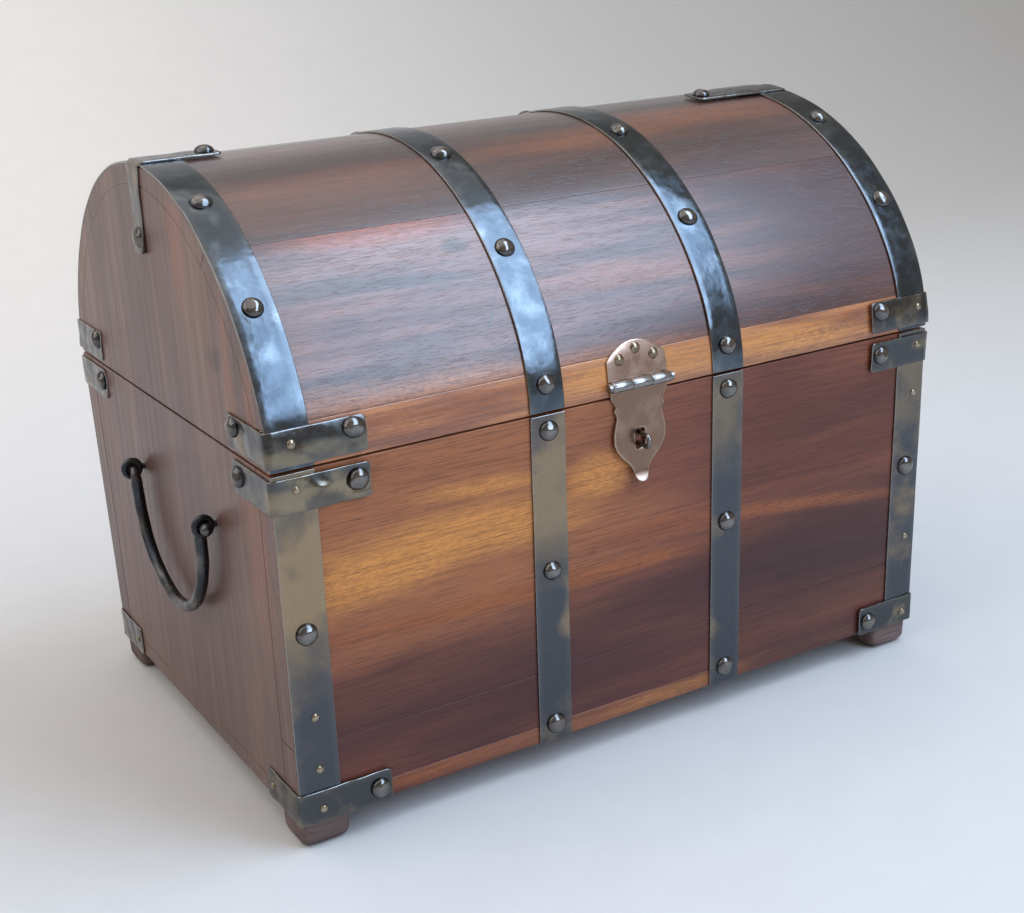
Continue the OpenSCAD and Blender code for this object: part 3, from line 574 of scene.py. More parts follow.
def slab(z0, z1, side):
    """A leaning board's outline between two heights, from the face to its thickness inside it."""
    low, high = -half_depth(z0), -half_depth(z1)
    return np.array([(low, z0), (low + lean_t, z0), (high + lean_t, z1), (high, z1)]) * (side, 1)


def trapezium(z0, z1, inset):
    """The outline across the box between two heights, a distance inside the front and back faces."""
    low, high = half_depth(z0) - inset, half_depth(z1) - inset
    return [(-low, z0), (low, z0), (high, z1), (-high, z1)]


def make_board(node, body, material, outline, x0=-HALF_W, x1=HALF_W, edge=0.7, end_grain=None):
    """A board of one wood; where end_grain is given, the two caps, which are its last faces, take that."""
    part = board(outline, x0, x1, edge)
    caps = 2 * len(ladder(len(part[0]) // 8))
    others = (end_grain, len(part[1]) - caps) if end_grain else None
    make_piece("planed_" + node, body, [node], material, [part], True, others)


make_board("base_board", "box", base_wood, trapezium(FOOT_H, FLOOR_Z, 0), end_grain=end_wood)
for node, low, high, side, edge in (("front_board_lower", FLOOR_Z, JOINT_Z, 1, 0.5),
                                    ("front_board_upper", JOINT_Z, BODY_TOP, 1, 0.6),
                                    ("back_board", FLOOR_Z, BODY_TOP, -1, 0.6)):
    make_board(node, "box", front_wood, slab(low, high, side), edge=edge, end_grain=end_wood)
for side, name in ((-1, "left"), (1, "right")):
    x0, x1 = sorted((side * HALF_W, side * (HALF_W - END_T)))
    end_outline = trapezium(FLOOR_Z, BODY_TOP, lean_t)
    make_board(f"{name}_end_board", "box", end_wood, end_outline, x0, x1, 0.5)
print("six boards in the box")

# %% The barrel's staves and ends
RAIL_ANGLE, CROWN_ANGLE = math.radians(12.5), math.radians(52.5)
staves = {
    "lid_front_rail": (0, RAIL_ANGLE, rail_wood, "rail_wood"),
    "lid_front_board": (RAIL_ANGLE, CROWN_ANGLE, barrel_wood, "barrel_wood"),
    "lid_crown_front": (CROWN_ANGLE, math.pi / 2, crown_wood, "crown_wood"),
    "lid_crown_back": (math.pi / 2, math.pi - CROWN_ANGLE, crown_wood, "crown_wood"),
    "lid_back_board": (math.pi - CROWN_ANGLE, math.pi, barrel_wood, "barrel_wood"),
}
for node, (a0, a1, material, slot) in staves.items():
    make_board(node, "lid", material, arc_band(a0, a1, 0, STAVE_T), edge=0.45, end_grain=end_wood)
for side, name in ((-1, "left"), (1, "right")):
    x0, x1 = sorted((side * HALF_W, side * (HALF_W - END_T)))
    arch_line = np.stack(barrel(np.linspace(0, math.pi, 90), -STAVE_T), 1)
    make_board(f"lid_end_{name}", "lid", end_wood, arch_line, x0, x1, 0.45)
print("five staves and two ends in the lid")

# %% [markdown]
# ## Feet
# Each foot is a bare block that has scuffed along many floors: a rounded square in plan, drawn in at the
# bottom. One angle goes round the plan and one height goes up it.


# %% Scuffed blocks
FOOT_HALF = 13.5


def foot_block(centre_x, centre_y, half=FOOT_HALF, height=FOOT_H):
    """Plan: a superellipse. Its half width draws in by a quarter circle of radius round_r near the floor."""
    round_r, power, draught = 5.0, 0.30, 0.6
    turn = np.linspace(0, 2 * math.pi, 64, endpoint=False)
    plan = np.stack([np.sign(np.cos(turn)) * abs(np.cos(turn)) ** power,
                     np.sign(np.sin(turn)) * abs(np.sin(turn)) ** power], 1)
    curve = round_r * (1 - np.cos(np.linspace(0, math.pi / 2, 7)))
    rise = np.concatenate([curve, [9.0, 12.0, height - 0.5, height]])
    inset = np.where(rise < round_r, round_r - np.sqrt(np.maximum(0, round_r**2 - (round_r - rise) ** 2)), 0)
    inset += draught * (1 - rise / height)
    inset[-1] += 0.4
    ring = plan[None] * (half - inset)[:, None, None] + (centre_x, centre_y)
    points = np.concatenate([ring, np.broadcast_to(rise[:, None, None], (len(rise), len(turn), 1))], 2)
    faces = list(grid_faces(len(rise), len(turn), wrap_columns=True))
    faces += [range(len(turn)), range((len(rise) - 1) * len(turn), len(rise) * len(turn))]
    return points.reshape(-1, 3), faces, 0.0


for fore, sy in (("front", -1), ("back", 1)):
    for name, sx in (("left", -1), ("right", 1)):
        block = foot_block(sx * (HALF_W - FOOT_HALF), sy * (half_depth(FOOT_H) - FOOT_HALF))
        node = f"foot_{fore}_{name}"
        make_piece("scuffed_" + node, "box", [node], foot_wood, [block])
print("four feet")

# %% [markdown]
# ## Beaten iron plates
# Straps and brackets are strips of thin sheet. One function makes them all: it lays out a strip with a
# length, a width that may change along it, rounded corners and a rounded rim, adds shallow dents, and a
# second function bends the strip on to the wood. The strip has a face, a back and a rim, so it is a closed
# solid.


# %% One plate for every strap
def ripples(seed, size, amount, count=7):
    """A smooth uneven surface: a sum of sine waves in random directions, with wavelengths near size."""
    draw = np.random.default_rng(seed)
    angle, phase = draw.uniform(0, 2 * math.pi, count), draw.uniform(0, 2 * math.pi, count)
    pitch = 2 * math.pi / (size * draw.uniform(0.7, 1.8, count))

    def height(u, v):
        waves = (u[..., None] * np.cos(angle) + v[..., None] * np.sin(angle)) * pitch + phase
        return amount * np.sin(waves).sum(-1) / math.sqrt(count)

    return height


def rim_rows(length, step, edge, corner):
    """Places along a strip: close together over the rim and the rounded corner, then evenly spaced."""
    rim, bend = edge * np.array([0, 0.15, 0.5, 1.0]), corner * np.array([0.3, 0.6, 1.0])
    near = np.unique(np.concatenate([rim, bend]))
    inner = np.linspace(near[-1], length - near[-1], max(2, int((length - 2 * near[-1]) / step) + 1))
    return np.concatenate([near[:-1], inner, (length - near[:-1])[::-1]])


def plate(place, length, width, thick=IRON_T, edge=0.4, corner=1.5, step=2.5, dents=None, taper=None):
    """place(u, v, h) bends the strip: u along it, v across it, h above the wood. The face's height is the
    thickness, less a quarter circle over the rim, plus the dents; the width shrinks round the corners."""
    u = rim_rows(length, step, edge, corner)
    ends = np.minimum(u, length - u)
    half = np.full_like(u, width / 2) if taper is None else taper(u)
    near = np.minimum(ends, corner)
    half = half - corner + np.sqrt(np.maximum(0, corner**2 - (corner - near) ** 2))
    rows = rim_rows(2.0, 0.28, 2 * edge / width, 2 * edge / width) - 1
    v = half[:, None] * rows[None]
    side = (half[:, None] - abs(v))
    gap = np.minimum(np.broadcast_to(ends[:, None], v.shape), side)
    fall = np.where(gap < edge, 1 - np.sqrt(np.maximum(0, 1 - (1 - gap / edge) ** 2)), 0)
    uu = np.broadcast_to(u[:, None], v.shape)
    lump = 0 if dents is None else dents(uu, v)
    face = place(uu, v, thick - edge * fall + lump)
    back = place(uu, v, np.zeros_like(v))
    n, m = v.shape
    faces = np.concatenate([grid_faces(n, m), grid_faces(n, m)[:, ::-1] + n * m])
    loop = np.concatenate([np.arange(m), np.arange(1, n) * m + m - 1, (n - 1) * m + np.arange(m - 2, -1, -1),
                           np.arange(n - 2, 0, -1) * m])
    after = np.roll(loop, -1)
    faces = np.concatenate([faces, np.stack([loop, loop + n * m, after + n * m, after], 1)])
    rub = np.clip(1 - gap / 0.45, 0, 1)
    points = np.concatenate([face.reshape(-1, 3), back.reshape(-1, 3)])
    return points, faces, np.concatenate([rub.ravel(), rub.ravel()])


# %% Straps up the box
# Each column of straps has a middle and a width.
COLUMNS = {
    "left": (-189.0, 22.0), "mid_left": (-53.0, 20.0), "mid_right": (59.0, 20.0), "right": (190.0, 20.0),
}
STRAP_LEN = (BODY_TOP - FOOT_H) / math.cos(LEAN)
STRAP_CORNER = 0.8


def up_the_face(x, sy, inset=0.0):
    """The strip stands on the box's foot line and leans with the board; h pushes it straight out."""

    def place(u, v, h):
        z = FOOT_H + u * math.cos(LEAN) - h * math.sin(LEAN)
        y = half_depth(FOOT_H) + u * math.sin(LEAN) + h * math.cos(LEAN)
        return np.stack([x + v, sy * y, z], -1)

    return place


for number, (name, (x, width)) in enumerate(COLUMNS.items()):
    for fore, sy in (("front", -1), ("back", 1)):
        dents = ripples(number + 10 * sy + 20, size=46, amount=0.10)
        strip = plate(up_the_face(x, sy), STRAP_LEN, width, dents=dents, corner=STRAP_CORNER)
        node = f"{fore}_strap_{name}"
        make_piece("beaten_" + node, "box", [node], strap_iron, [strip])


# %% Straps over the barrel
LIFT = 0.5


def over_the_barrel(x, out=TOUCH, start=LIFT):
    """The strip follows the arch: u is a length along it, and h adds to the distance outside the wood."""

    def place(u, v, h):
        y, z = barrel(arc_angle(u + start), out + h)
        return np.stack([x + v, y, z], -1)

    return place


for number, (name, (x, width)) in enumerate(COLUMNS.items()):
    dents = ripples(number + 40, size=38, amount=0.14)
    strip = plate(over_the_barrel(x), ARC_STEPS[-1] - 2 * LIFT, width, dents=dents, corner=STRAP_CORNER)
    make_piece(f"beaten_lid_strap_{name}", "lid", [f"lid_strap_{name}"], lid_iron, [strip])
print("twelve straps")

# %% [markdown]
# ## Corner brackets
# A bracket is a strip folded once. Its path runs along the front, turns a tight corner over the strap and
# runs back along the end. The same fold makes the two long brackets over the crown. Hammering left them
# uneven, above all the one at the box's left front corner, which bulges where it steps over the strap.


# %% Folded strips
def fold(u, leg, inside_r):
    """A path of a straight leg, a quarter circle and a second leg; returns its point (p, q) and normal."""
    arc = inside_r * math.pi / 2
    turn = np.clip((u - (leg - inside_r)) / inside_r, 0, math.pi / 2)
    first = np.minimum(u, leg - inside_r)
    last = np.maximum(u - (leg - inside_r) - arc, 0)
    p = first + inside_r * np.sin(turn)
    q = -inside_r * (1 - np.cos(turn)) - last
    return p, q, np.sin(turn), np.cos(turn)


def round_the_corner(sx, sy, leg, z_middle, face, out, inside_r=0.5):
    """The strip's height is vertical; face(z) is the board's distance from the middle of the chest."""

    def place(u, v, h):
        p, q, side, ahead = fold(u, leg, inside_r)
        z = z_middle + v
        x = HALF_W - leg + p + h * side
        y = face(z) + out + q + h * ahead
        return np.stack([sx * x, sy * y, z], -1)

    return place


def lid_face(z):
    """The barrel's half depth at height z, on its tight arc."""
    return side_y + np.sqrt(SIDE_R**2 - (z - LID_Z) ** 2)


OVER_STRAP = IRON_T + TOUCH
TOP_GAP, LID_GAP = 2, 2.5


def bulged(seed, leg):
    """The hammered corner: ripples, a hump beside the strap's edge and a lip along the lower rim."""
    base = ripples(seed, 15, 0.20)

    def height(u, v):
        past = u - leg * 0.52
        hump = 2.6 * np.exp(-((past / 6.5) ** 2) - ((v - 0.5 - 0.25 * past) / 3.4) ** 2)
        lip = 1.6 * np.exp(-(((v + 7.2) / 1.8) ** 2)) * (0.6 + 0.4 * np.sin(u / 3.5)) * (u < leg - 3)
        pinch = -0.6 * np.exp(-(((u - leg * 0.25) / 5.0) ** 2))
        return base(u, v) * (u < leg - 2) + hump + lip + pinch

    return height


for sy, fore in ((-1, "front"), (1, "back")):
    for sx, name in ((-1, "left"), (1, "right")):
        leg = LEGS[sx]
        reach = leg + SIDE_LEG
        rows = {
            "top_bracket": ("box", BODY_TOP - TOP_GAP - BRACKET_H / 2, half_depth, 0.0),
            "base_bracket": ("box", FOOT_H + BRACKET_H / 2, half_depth, 0.0),
            "lid_bracket": ("lid", LID_Z + LID_GAP + BRACKET_H / 2, lid_face, TOUCH),
        }
        for number, (kind, (body, z_middle, face, gap)) in enumerate(rows.items()):
            node = f"{kind}_{fore}_{name}"
            seed = number * 7 + sx + 3 * sy + 60
            out = OVER_STRAP + gap
            back_gap = HALF_D - face(np.array(z_middle))
            dents = bulged(seed, leg) if node == "top_bracket_front_left" else ripples(seed, 17, 0.24)
            bend = round_the_corner(sx, sy, leg, z_middle, face, out)
            strip = plate(bend, reach - back_gap + out, BRACKET_H, dents=dents, corner=2.0, step=1.6)
            make_piece(f"beaten_{node}", body, [node], bracket_iron, [strip])
print("twelve corner brackets")

# %% Brackets over the crown
CROWN_Y = {-1: -1.0, 1: -14.0}
CROWN_LEGS = {-1: 44.0, 1: 64.0}
CROWN_W, CROWN_DROP = 18.0, 45.0


def over_the_end(sx, leg, y_middle, inside_r=1.0):
    """The strip's width runs front to back; its first leg lies on the barrel and its second on the end."""
    out = OVER_STRAP + TOUCH

    def place(u, v, h):
        p, q, side, up = fold(u, leg, inside_r)
        y = y_middle + v
        top = top_c + np.sqrt((top_r + out) ** 2 - y**2)
        return np.stack([sx * (HALF_W - leg + p + h * side), y, top + q + h * up], -1)

    return place


def sprung(seed, leg):
    """Ripples, and an end that springs off the wood: it rises by the square of the distance down the end."""
    base = ripples(seed, 20, 0.12)

    def height(u, v):
        past = np.clip((u - leg - 26) / 18, 0, 1)
        return base(u, v) + 1.6 * past**2

    return height


def drawn_out(leg):
    """Half the bracket's width: full over the barrel, then narrowing in straight lines down the end."""
    shares = np.array([1.0, 0.74, 0.60])
    return lambda u: np.interp(u, [leg, leg + 12, leg + CROWN_DROP], shares * CROWN_W / 2)


for sx, name in ((-1, "left"), (1, "right")):
    leg = CROWN_LEGS[sx]
    strip = plate(over_the_end(sx, leg, CROWN_Y[sx]), leg + CROWN_DROP, CROWN_W, dents=sprung(90 + sx, leg),
                  corner=2.5, step=1.8, taper=drawn_out(leg))
    node = f"crown_bracket_{name}"
    make_piece("beaten_" + node, "lid", [node], bracket_iron, [strip])
print("two crown brackets")

# %% [markdown]
# ## Studs and nails
# The studs are hand-made domes, no two alike. The CAD nodes know where each one is, so the script splits a
# node into its solids, finds each one's axis, and sets a dome there that a few random hammer blows have
# flattened.


# %% Finding the fasteners
def solids(node):
    """A CAD node's solids: each point keeps taking the lowest label in its triangles until all agree."""
    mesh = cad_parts[node].data
    points = np.zeros(len(mesh.vertices) * 3, np.float32)
    mesh.vertices.foreach_get("co", points)
    points = points.reshape(-1, 3).astype(float) / MM
    mesh.calc_loop_triangles()
    corners = np.zeros(len(mesh.loop_triangles) * 3, np.int32)
    mesh.loop_triangles.foreach_get("vertices", corners)
    spots, weld = np.unique(np.round(points, 3), axis=0, return_inverse=True)
    triangles = weld.ravel()[corners].reshape(-1, 3)
    label, before = np.arange(len(spots)), None
    while before is None or (label != before).any():
        before = label.copy()
        np.minimum.at(label, triangles.ravel(), np.repeat(before[triangles].min(1), 3))
        label = label[label]
    return [spots[label == k] for k in np.unique(label)]


def seat(spots, head_h):
    """Where a dome sits: the solid's axis is the principal direction that differs most from the other two."""
    middle = spots.mean(0)
    sizes, axes = np.linalg.eigh(np.cov((spots - middle).T))
    odd = np.argmax([abs(sizes[k] - np.delete(sizes, k).mean()) for k in range(3)])
    axis = axes[:, odd]
    axis = axis if axis @ (middle - (0, 0, 150)) > 0 else -axis
    return middle + axis * (((spots - middle) @ axis).max() - head_h), axis


TOP_ANGLE, BLOW_REACH = 1.45, (0.86, 0.95)
STUD_R, STUD_H, NAIL_R, NAIL_H = 5.5, 3.5, 2.2, 1.1


def domes(nodes_solids, radius, height, seed, sides=20, rings=7, blows=4):
    """A cap: rings at the cosine of an angle and heights at its sine. Blows cut it back to random planes."""
    draw = np.random.default_rng(seed)
    lift = np.linspace(0, 1, rings)
    turn = np.linspace(0, 2 * math.pi, sides, endpoint=False)
    ring_r = np.concatenate([[1.0], np.cos(lift * TOP_ANGLE)])
    ring_z = np.concatenate([[-0.02], np.sin(lift * TOP_ANGLE)])
    cap = np.stack([ring_r[:, None] * np.cos(turn), ring_r[:, None] * np.sin(turn),
                    np.broadcast_to(ring_z[:, None], (len(ring_r), sides))], -1).reshape(-1, 3)
    faces = list(grid_faces(len(ring_r), sides, wrap_columns=True))
    faces += [range(sides), range((len(ring_r) - 1) * sides, len(ring_r) * sides)]
    parts = []
    for spots in nodes_solids:
        base, axis = seat(spots, height)
        shape = cap.copy()
        for _ in range(blows):
            blow = draw.normal(size=3) * (1, 1, 0.5) + (0, 0, 1.0)
            blow /= np.linalg.norm(blow)
            past = np.maximum(0, shape @ blow - draw.uniform(*BLOW_REACH))
            shape -= past[:, None] * blow
        shape *= draw.uniform(0.93, 1.05, 3) * (radius, radius, height)
        shape[:, 2] = np.minimum(shape[:, 2], height)
        across = np.cross(axis, (0.31, 0.52, 0.8))
        across /= np.linalg.norm(across)
        points = base + shape @ np.array([across, np.cross(axis, across), axis])
        parts.append((points, faces, np.clip(shape[:, 2] / height, 0, 1) ** 2 * 0.75))
    return parts


for node, body, slot, material, radius, height in (
    ("body_studs", "box", "stud_iron", stud_iron, STUD_R, STUD_H),
    ("lid_studs", "lid", "stud_iron", stud_iron, STUD_R, STUD_H),
    ("body_nails", "box", "brass_nail", brass_nail, NAIL_R, NAIL_H),
    ("lid_nails", "lid", "brass_nail", brass_nail, NAIL_R, NAIL_H),
):
    found = solids(node)
    make_piece("domed_" + node, body, [node], material, domes(found, radius, height, len(found)))
    print(node, len(found))

# %% [markdown]
# ## The hasp
# A bronze plate is screwed to the lid and a leaf hangs from it over the staple. Both are thin sheet with a
# filed outline and rolled knuckles. The plate is the strip function again with a round top. The leaf has a
# slot, so its sheet is drawn between two loops: the slot and the outline, seen from the middle of the slot.


# %% Knuckles and the plate
HASP_X, HASP_W, HASP_T, HASP_Z = 1.5, 36.0, 1.2, 204.0
KNUCKLE_R, STAPLE_Z, TOP_R = 2.8, 174.0, 22.5
PIN_Y = -(HALF_D + KNUCKLE_R + 0.4)


def knuckle(x0, x1, y, z, radius, sides=28):
    """A rolled barrel along X: a circle whose radius shrinks over the last fraction of a millimetre."""
    soft = 0.3
    xs = np.array([x0, x0 + 0.1, x0 + soft, x1 - soft, x1 - 0.1, x1])
    r = radius - np.array([soft, 0.1, 0, 0, 0.1, soft])
    turn = np.linspace(0, 2 * math.pi, sides, endpoint=False)
    ys, zs = y + r[:, None] * np.cos(turn), z + r[:, None] * np.sin(turn)
    points = np.stack(np.broadcast_arrays(xs[:, None], ys, zs), -1)
    faces = list(grid_faces(len(xs), sides, wrap_columns=True))
    faces += [range(sides), range((len(xs) - 1) * sides, len(xs) * sides)]
    return points.reshape(-1, 3), faces, np.repeat([0.8, 0.4, 0.15, 0.15, 0.4, 0.8], sides)


third = HASP_W / 3
play = 0.15
plate_low, plate_high = HASP_Z + KNUCKLE_R - 0.6, 225.0
start_angle = math.asin((plate_low - LID_Z) / SIDE_R)
plate_len = SIDE_R * (math.asin((plate_high - LID_Z) / SIDE_R) - start_angle)


def round_top(u):
    """Straight sides under a low arch: the half width of a circle at this distance below its top."""
    below_top = np.clip(plate_len - u, 0.15, TOP_R)
    return np.minimum(HASP_W / 2, np.sqrt(below_top * (2 * TOP_R - below_top)))


hasp_sheet = plate(over_the_barrel(HASP_X, TOUCH, SIDE_R * start_angle), plate_len, HASP_W, HASP_T, edge=0.3,
                   corner=0.3, step=0.5, dents=ripples(5, size=16, amount=0.05), taper=round_top)
ends = []
for s in (-1, 1):
    x0, x1 = HASP_X + s * third - third / 2 + play, HASP_X + s * third + third / 2 - play
    ends.append(knuckle(x0, x1, PIN_Y, HASP_Z, KNUCKLE_R))
make_piece("pressed_hasp_plate", "lid", ["hasp_plate"], plate_bronze, [hasp_sheet, *ends],
           others=(bright_steel, len(hasp_sheet[1])))


# %% The leaf
LEAF_TOP, LEAF_END = 3.0, 52.8


def leaf_half(u):
    """Half the leaf's width at a distance below the pin: shoulders, two scallops, a belly and a long tip."""
    shoulders = [(LEAF_TOP, 17.4), (8.0, 17.2)]
    scallops = [(9.5, 15.4), (11.0, 14.3), (13.2, 15.6), (15.0, 14.4), (17.0, 13.9)]
    belly = [(21.0, 15.0), (26.0, 15.9), (31.0, 15.8), (35.0, 14.3), (39.0, 11.2)]
    tip = [(42.5, 7.6), (45.5, 5.2), (48.0, 4.4), (50.3, 4.1), (52.0, 2.9), (LEAF_END, 0.8)]
    return np.interp(u, *zip(*shoulders, *scallops, *belly, *tip))


def leaf_sheet():
    """Each point lies part of the way from the slot's loop to the outline, along a ray from the slot's
    middle. Going out over the face and back under it closes the sheet, and the face falls at both rims."""
    middle, slot_r, slot_half = HASP_Z - STAPLE_Z, 3.1, 2.3
    down = np.linspace(LEAF_TOP, LEAF_END, 300)
    right = np.stack([leaf_half(down), down - middle], 1)
    shoulder = leaf_half(LEAF_TOP)
    top = np.stack([np.linspace(-shoulder, shoulder, 60)[1:-1], np.full(58, LEAF_TOP - middle)], 1)
    line = np.concatenate([right, (right * (-1, 1))[::-1], top])
    bearing = np.arctan2(line[:, 1], line[:, 0])
    order = np.argsort(bearing)
    turn = np.linspace(-math.pi, math.pi, 260, endpoint=False)
    reach = np.interp(turn, bearing[order], np.linalg.norm(line, axis=1)[order], period=2 * math.pi)
    power = 5.0
    wide, tall = abs(np.cos(turn) / slot_r), abs(np.sin(turn) / (slot_r + slot_half))
    slot = (wide**power + tall**power) ** (-1 / power)
    edge = 0.3
    rows = np.array([0, 0.06, 0.3, 1.2, 3.0])
    span = reach - slot
    outs = np.concatenate([slot + rows[:, None], slot + span * np.linspace(0.35, 0.65, 3)[:, None],
                           reach - rows[::-1, None]])
    fall = np.concatenate([[1, 0.4, 0, 0, 0], np.zeros(3), [0, 0, 0, 0.4, 1]]) * edge
    outs = np.sort(outs, 0)
    across, below = outs * np.cos(turn), outs * np.sin(turn) + middle
    lip = 2.6 * np.clip((below - 46.5) / 6.3, 0, 1) ** 1.6
    bow = ripples(3, 22, 0.06)(across, below)
    face_h = HASP_T - fall[:, None] + lip + bow
    back_h = fall[:, None] * 0.5 + lip
    heights = np.concatenate([face_h, back_h[::-1]])
    x = np.concatenate([across, across[::-1]]) + HASP_X
    z = HASP_Z - np.concatenate([below, below[::-1]])
    y = PIN_Y + KNUCKLE_R - heights
    rub = np.concatenate([np.clip(1 - np.minimum(outs - slot, reach - outs) / 0.7, 0, 1)] * 2)
    rub = np.maximum(rub, np.clip((HASP_Z - 49.5 - z) / 3, 0, 1))
    points = np.stack([x, y, z], -1)
    return points.reshape(-1, 3), grid_faces(len(heights), len(turn), True, True), rub.ravel()


leaf = leaf_sheet()
middle_knuckle = knuckle(HASP_X - third / 2 + play, HASP_X + third / 2 - play, PIN_Y, HASP_Z, KNUCKLE_R)
make_piece("pressed_hasp_leaf", "hasp", ["hasp_leaf"], leaf_bronze, [leaf, middle_knuckle],
           others=(bright_steel, len(leaf[1])))
print("hasp plate and leaf")

# %% [markdown]
# ## Drop handles
# A round rod is bent to a bow, its ends turned out through two eyes and upset into small balls. The path
# lies in one plane, so a circle can be carried along it without twist: one direction of the circle is
# always the chest's long axis, and the other is the path's own normal. The radius swells at the balls.

# %% Forged rods
HANDLE_Z, HANDLE_Y, HANDLE_OUT = 151.0, -7.0, 7.0
BAIL_R, ROD_R, PIVOT_R, BALL_R = 50.0, 3.2, 2.3, 3.3


def bail_path():
    """Out of one eye, round a bend, down a short leg, along half a circle, and the same again mirrored."""
    leg, stub = 10.0, 14.8
    bow = np.linspace(math.pi, 1.5 * math.pi, 60)
    half = np.concatenate([
        np.stack([np.linspace(-BAIL_R - stub, -BAIL_R - 4.6, 34), np.zeros(34)], 1),
        np.array([[-BAIL_R - 3.2, -0.1], [-BAIL_R - 1.4, -0.9], [-BAIL_R - 0.4, -2.2], [-BAIL_R, -4.2]]),
        np.stack([np.full(4, -BAIL_R), np.linspace(-5.5, -leg, 4)], 1)[:-1],
        np.stack([BAIL_R * np.cos(bow), BAIL_R * np.sin(bow) - leg], 1),
    ])
    return np.concatenate([half, (half[:-1] * (-1, 1))[::-1]])


def rod(sx, seed, sides=20):
    """A circle carried along the path; its radius is the rod's, less at the pivots, a ball's at the tips."""
    path = bail_path()
    ahead = np.gradient(path, axis=0)
    ahead /= np.linalg.norm(ahead, axis=1, keepdims=True)
    normal = np.stack([-ahead[:, 1], ahead[:, 0]], 1)
    run = np.concatenate([[0], np.cumsum(np.linalg.norm(np.diff(path, axis=0), axis=1))])
    tip = np.minimum(run, run[-1] - run)
    ball = np.sqrt(np.maximum(0.02, BALL_R**2 - (tip - BALL_R) ** 2))
    swell = PIVOT_R + (ROD_R - PIVOT_R) * np.clip((tip - 11) / 9, 0, 1)
    radius = np.where(tip < BALL_R, ball, np.maximum(np.where(tip < 2 * BALL_R, ball, 0), swell))
    turn = np.linspace(0, 2 * math.pi, sides, endpoint=False)
    length = run[:, None]
    uneven = 1 + 0.035 * np.sin(length / 7 + 2 * np.cos(turn) + seed) + 0.02 * np.sin(length / 2.3 + 3 * turn)
    r = radius[:, None] * np.where(tip[:, None] < 13, 1, uneven)
    x = sx * (HALF_W + HANDLE_OUT) + r * np.cos(turn)
    y = HANDLE_Y + path[:, :1] + r * np.sin(turn) * normal[:, :1]
    z = HANDLE_Z + path[:, 1:] + r * np.sin(turn) * normal[:, 1:]
    faces = list(grid_faces(len(path), sides, wrap_columns=True))
    faces += [range(sides), range((len(path) - 1) * sides, len(path) * sides)]
    # Painted highlight: bands along the rod's outer side get the metal's pale rim colour through the wear
    # value.
    shine = 0.5 * np.clip(np.sin(run / 5 + seed), 0, 1)[:, None] * (np.cos(turn) * sx > 0.5)
    return np.stack([x, y, z], -1).reshape(-1, 3), faces, np.broadcast_to(shine, r.shape).ravel()


for sx, name in ((-1, "left"), (1, "right")):
    node, bow = f"handle_{name}", rod(sx, sx + 2.0)
    make_piece("forged_" + node, f"{name}_handle", [node], handle_iron, [bow])
print("two handles")

# %% [markdown]
# ## Finishes for the nodes that stay
# Eyes, staple, pins, screws and rear hinges are already the right shape, so they only need their metals.

# %% Paint the CAD nodes
kept = {
    "handle_eyes": handle_iron, "staple": bright_steel, "hasp_pin": bright_steel, "hasp_screws": brass_nail,
    "hinge_body_leaves": hinge_bronze, "hinge_lid_leaves": hinge_bronze, "hinge_pins": bright_steel,
    "hinge_body_screws": brass_nail, "hinge_lid_screws": brass_nail,
}
for node, material in kept.items():
    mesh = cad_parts[node].data
    mesh.materials.clear()
    mesh.materials.append(material)
print(len(kept), "CAD nodes painted,", len(made), "pieces made")

# %% [markdown]
# ## Studio
# The chest stands on a pale paper sweep: a floor that curves up into a wall behind. One tall soft window of
# cool light hangs high in front and to the right. A pale wall on the left and a wide ceiling fill the
# shadows, a small wash lights the backdrop, and the rest of the room is an even warm grey.


# %% Floor and backdrop
def sweep_surface(half_width=4.5, near=-3.5, bend_start=0.9, bend_r=1.2, top=3.2):
    """A profile of floor, quarter circle and wall, carried sideways."""
    turn = np.linspace(0, math.pi / 2, 24)
    profile = np.concatenate([
        [[near, 0]], np.stack([bend_start + bend_r * np.sin(turn), bend_r * (1 - np.cos(turn))], 1),
        [[bend_start + bend_r, top]],
    ])
    xs = np.linspace(-half_width, half_width, 2)
    points = np.stack(np.broadcast_arrays(xs[None], profile[:, :1], profile[:, 1:]), -1)
    return points.reshape(-1, 3), grid_faces(len(profile), 2)[:, ::-1]


points, faces = sweep_surface()
paper = Finish("paper")
mottle = paper.noise(paper.here, 30.0, 5.0, 0.6)
NEAR_PAPER, PAINTED_LIGHT_FAR_PAPER = (0.65, 0.65, 0.65), (0.76, 0.71, 0.66)
SHADED_PAPER, FLECK = (0.55, 0.535, 0.51), (0.45, 0.44, 0.43)
place = paper.add("ShaderNodeSeparateXYZ")
paper.feed(place.inputs[0], paper.here)
# Painted light and shade: the paper is painted lighter and warmer towards the wall behind, and darker towards
# the right as painted shade.
tint = paper.mix(paper.spread(place.outputs[1], 0.2, 1.8), NEAR_PAPER, PAINTED_LIGHT_FAR_PAPER)
tint = paper.mix(paper.spread(place.outputs[0], -0.2, 1.3), tint, SHADED_PAPER)
tint = paper.mix(paper.spread(mottle, 0.35, 0.65, 0.0, 0.06), tint, FLECK)
paper.set(Base_Color=tint, Roughness=0.9)
paper.set(Normal=paper.bump(paper.noise(paper.here, 900.0, 2.0), 0.15, 0.3))
mesh = bpy.data.meshes.new("paper_sweep")
mesh.from_pydata(points.tolist(), [], faces.tolist())
mesh.polygons.foreach_set("use_smooth", np.ones(len(mesh.polygons), bool))
floor = bpy.data.objects.new("paper_sweep", mesh)
bpy.context.scene.collection.objects.link(floor)
mesh.materials.append(paper.material)


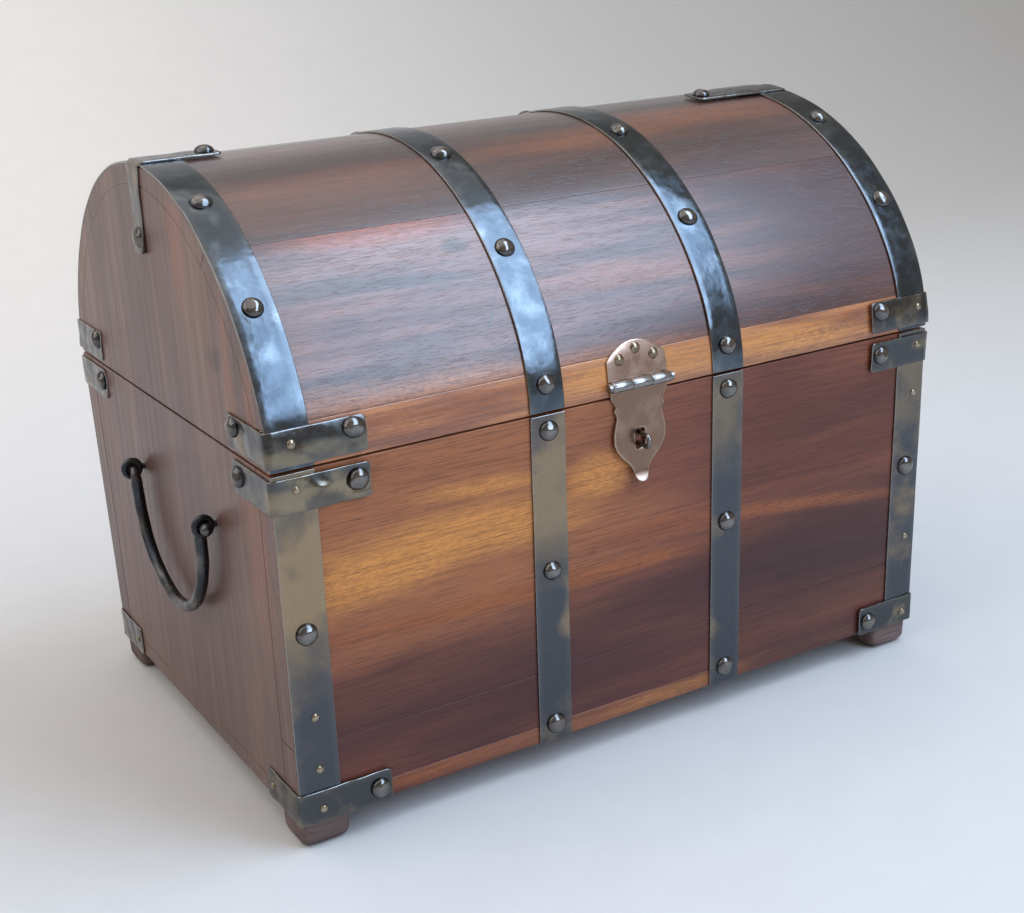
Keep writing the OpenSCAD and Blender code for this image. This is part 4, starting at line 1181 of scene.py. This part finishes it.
# %% Light
def soft_light(name, towards, distance, size, power, colour, upright, aim=(0, 0, 0.15)):
    """A rectangle of light facing the aim; upright is the direction that its taller side follows."""
    lamp = bpy.data.lights.new(name, "AREA")
    lamp.shape, (lamp.size, lamp.size_y) = "RECTANGLE", size
    lamp.energy, lamp.color = power, colour
    light = bpy.data.objects.new(name, lamp)
    back = Vector(towards).normalized()
    up = Vector(upright) - back * Vector(upright).dot(back)
    up.normalize()
    turned = Matrix((up.cross(back), up, back)).transposed().to_4x4()
    light.matrix_world = Matrix.Translation(Vector(aim) + back * distance) @ turned
    bpy.context.scene.collection.objects.link(light)


soft_light("window", towards=(0.418, -0.578, 0.701), distance=1.91, size=(0.85, 2.7), power=32.4,
           colour=(0.74, 1.0, 1.36), upright=(0.0, 0.89, 0.575))
soft_light("left_wall", towards=(-0.75, 0.05, 0.60), distance=2.4, size=(2.0, 2.0), power=15,
           colour=(0.97, 0.97, 1.0), upright=(0, 0, 1))
soft_light("ceiling", towards=(-0.10, 0.05, 1.0), distance=2.2, size=(3.0, 3.0), power=22,
           colour=(1.0, 0.97, 0.95), upright=(0, 1, 0))
soft_light("backdrop_wash", towards=(-0.3, -1.6, 0.8), distance=1.8, size=(1.2, 0.6), power=8,
           colour=(1.0, 0.96, 0.92), upright=(0, 0, 1), aim=(-0.3, 2.1, 0.8))
world = bpy.data.worlds.new("room")
world.use_nodes = True
world.node_tree.nodes["Background"].inputs[0].default_value = (0.40, 0.365, 0.33, 1)
world.node_tree.nodes["Background"].inputs[1].default_value = 1.0
bpy.context.scene.world = world
bpy.context.scene.view_settings.view_transform = "Standard"

# %% [markdown]
# ## Camera
# The camera looks from the left front and from a little above the lid, so that the front, the left end and
# the barrel all show.

# %% Camera
YAW, PITCH, ROLL = math.radians(29.88), math.radians(-18.75), math.radians(-3.11)
STAND = (-0.43727, -0.77577, 0.42755)
ahead = Vector((math.sin(YAW) * math.cos(PITCH), math.cos(YAW) * math.cos(PITCH), math.sin(PITCH)))
right = Vector((math.cos(YAW), -math.sin(YAW), 0))
above = right.cross(ahead)
cam_x = math.cos(ROLL) * right + math.sin(ROLL) * above
cam_y = -math.sin(ROLL) * right + math.cos(ROLL) * above
lens = bpy.data.cameras.new("camera")
lens.lens, lens.sensor_width = 55.34, 36.0
camera = bpy.data.objects.new("camera", lens)
turned = Matrix((cam_x, cam_y, -ahead)).transposed().to_4x4()
camera.matrix_world = Matrix.Translation(STAND) @ turned
bpy.context.scene.collection.objects.link(camera)
bpy.context.scene.camera = camera
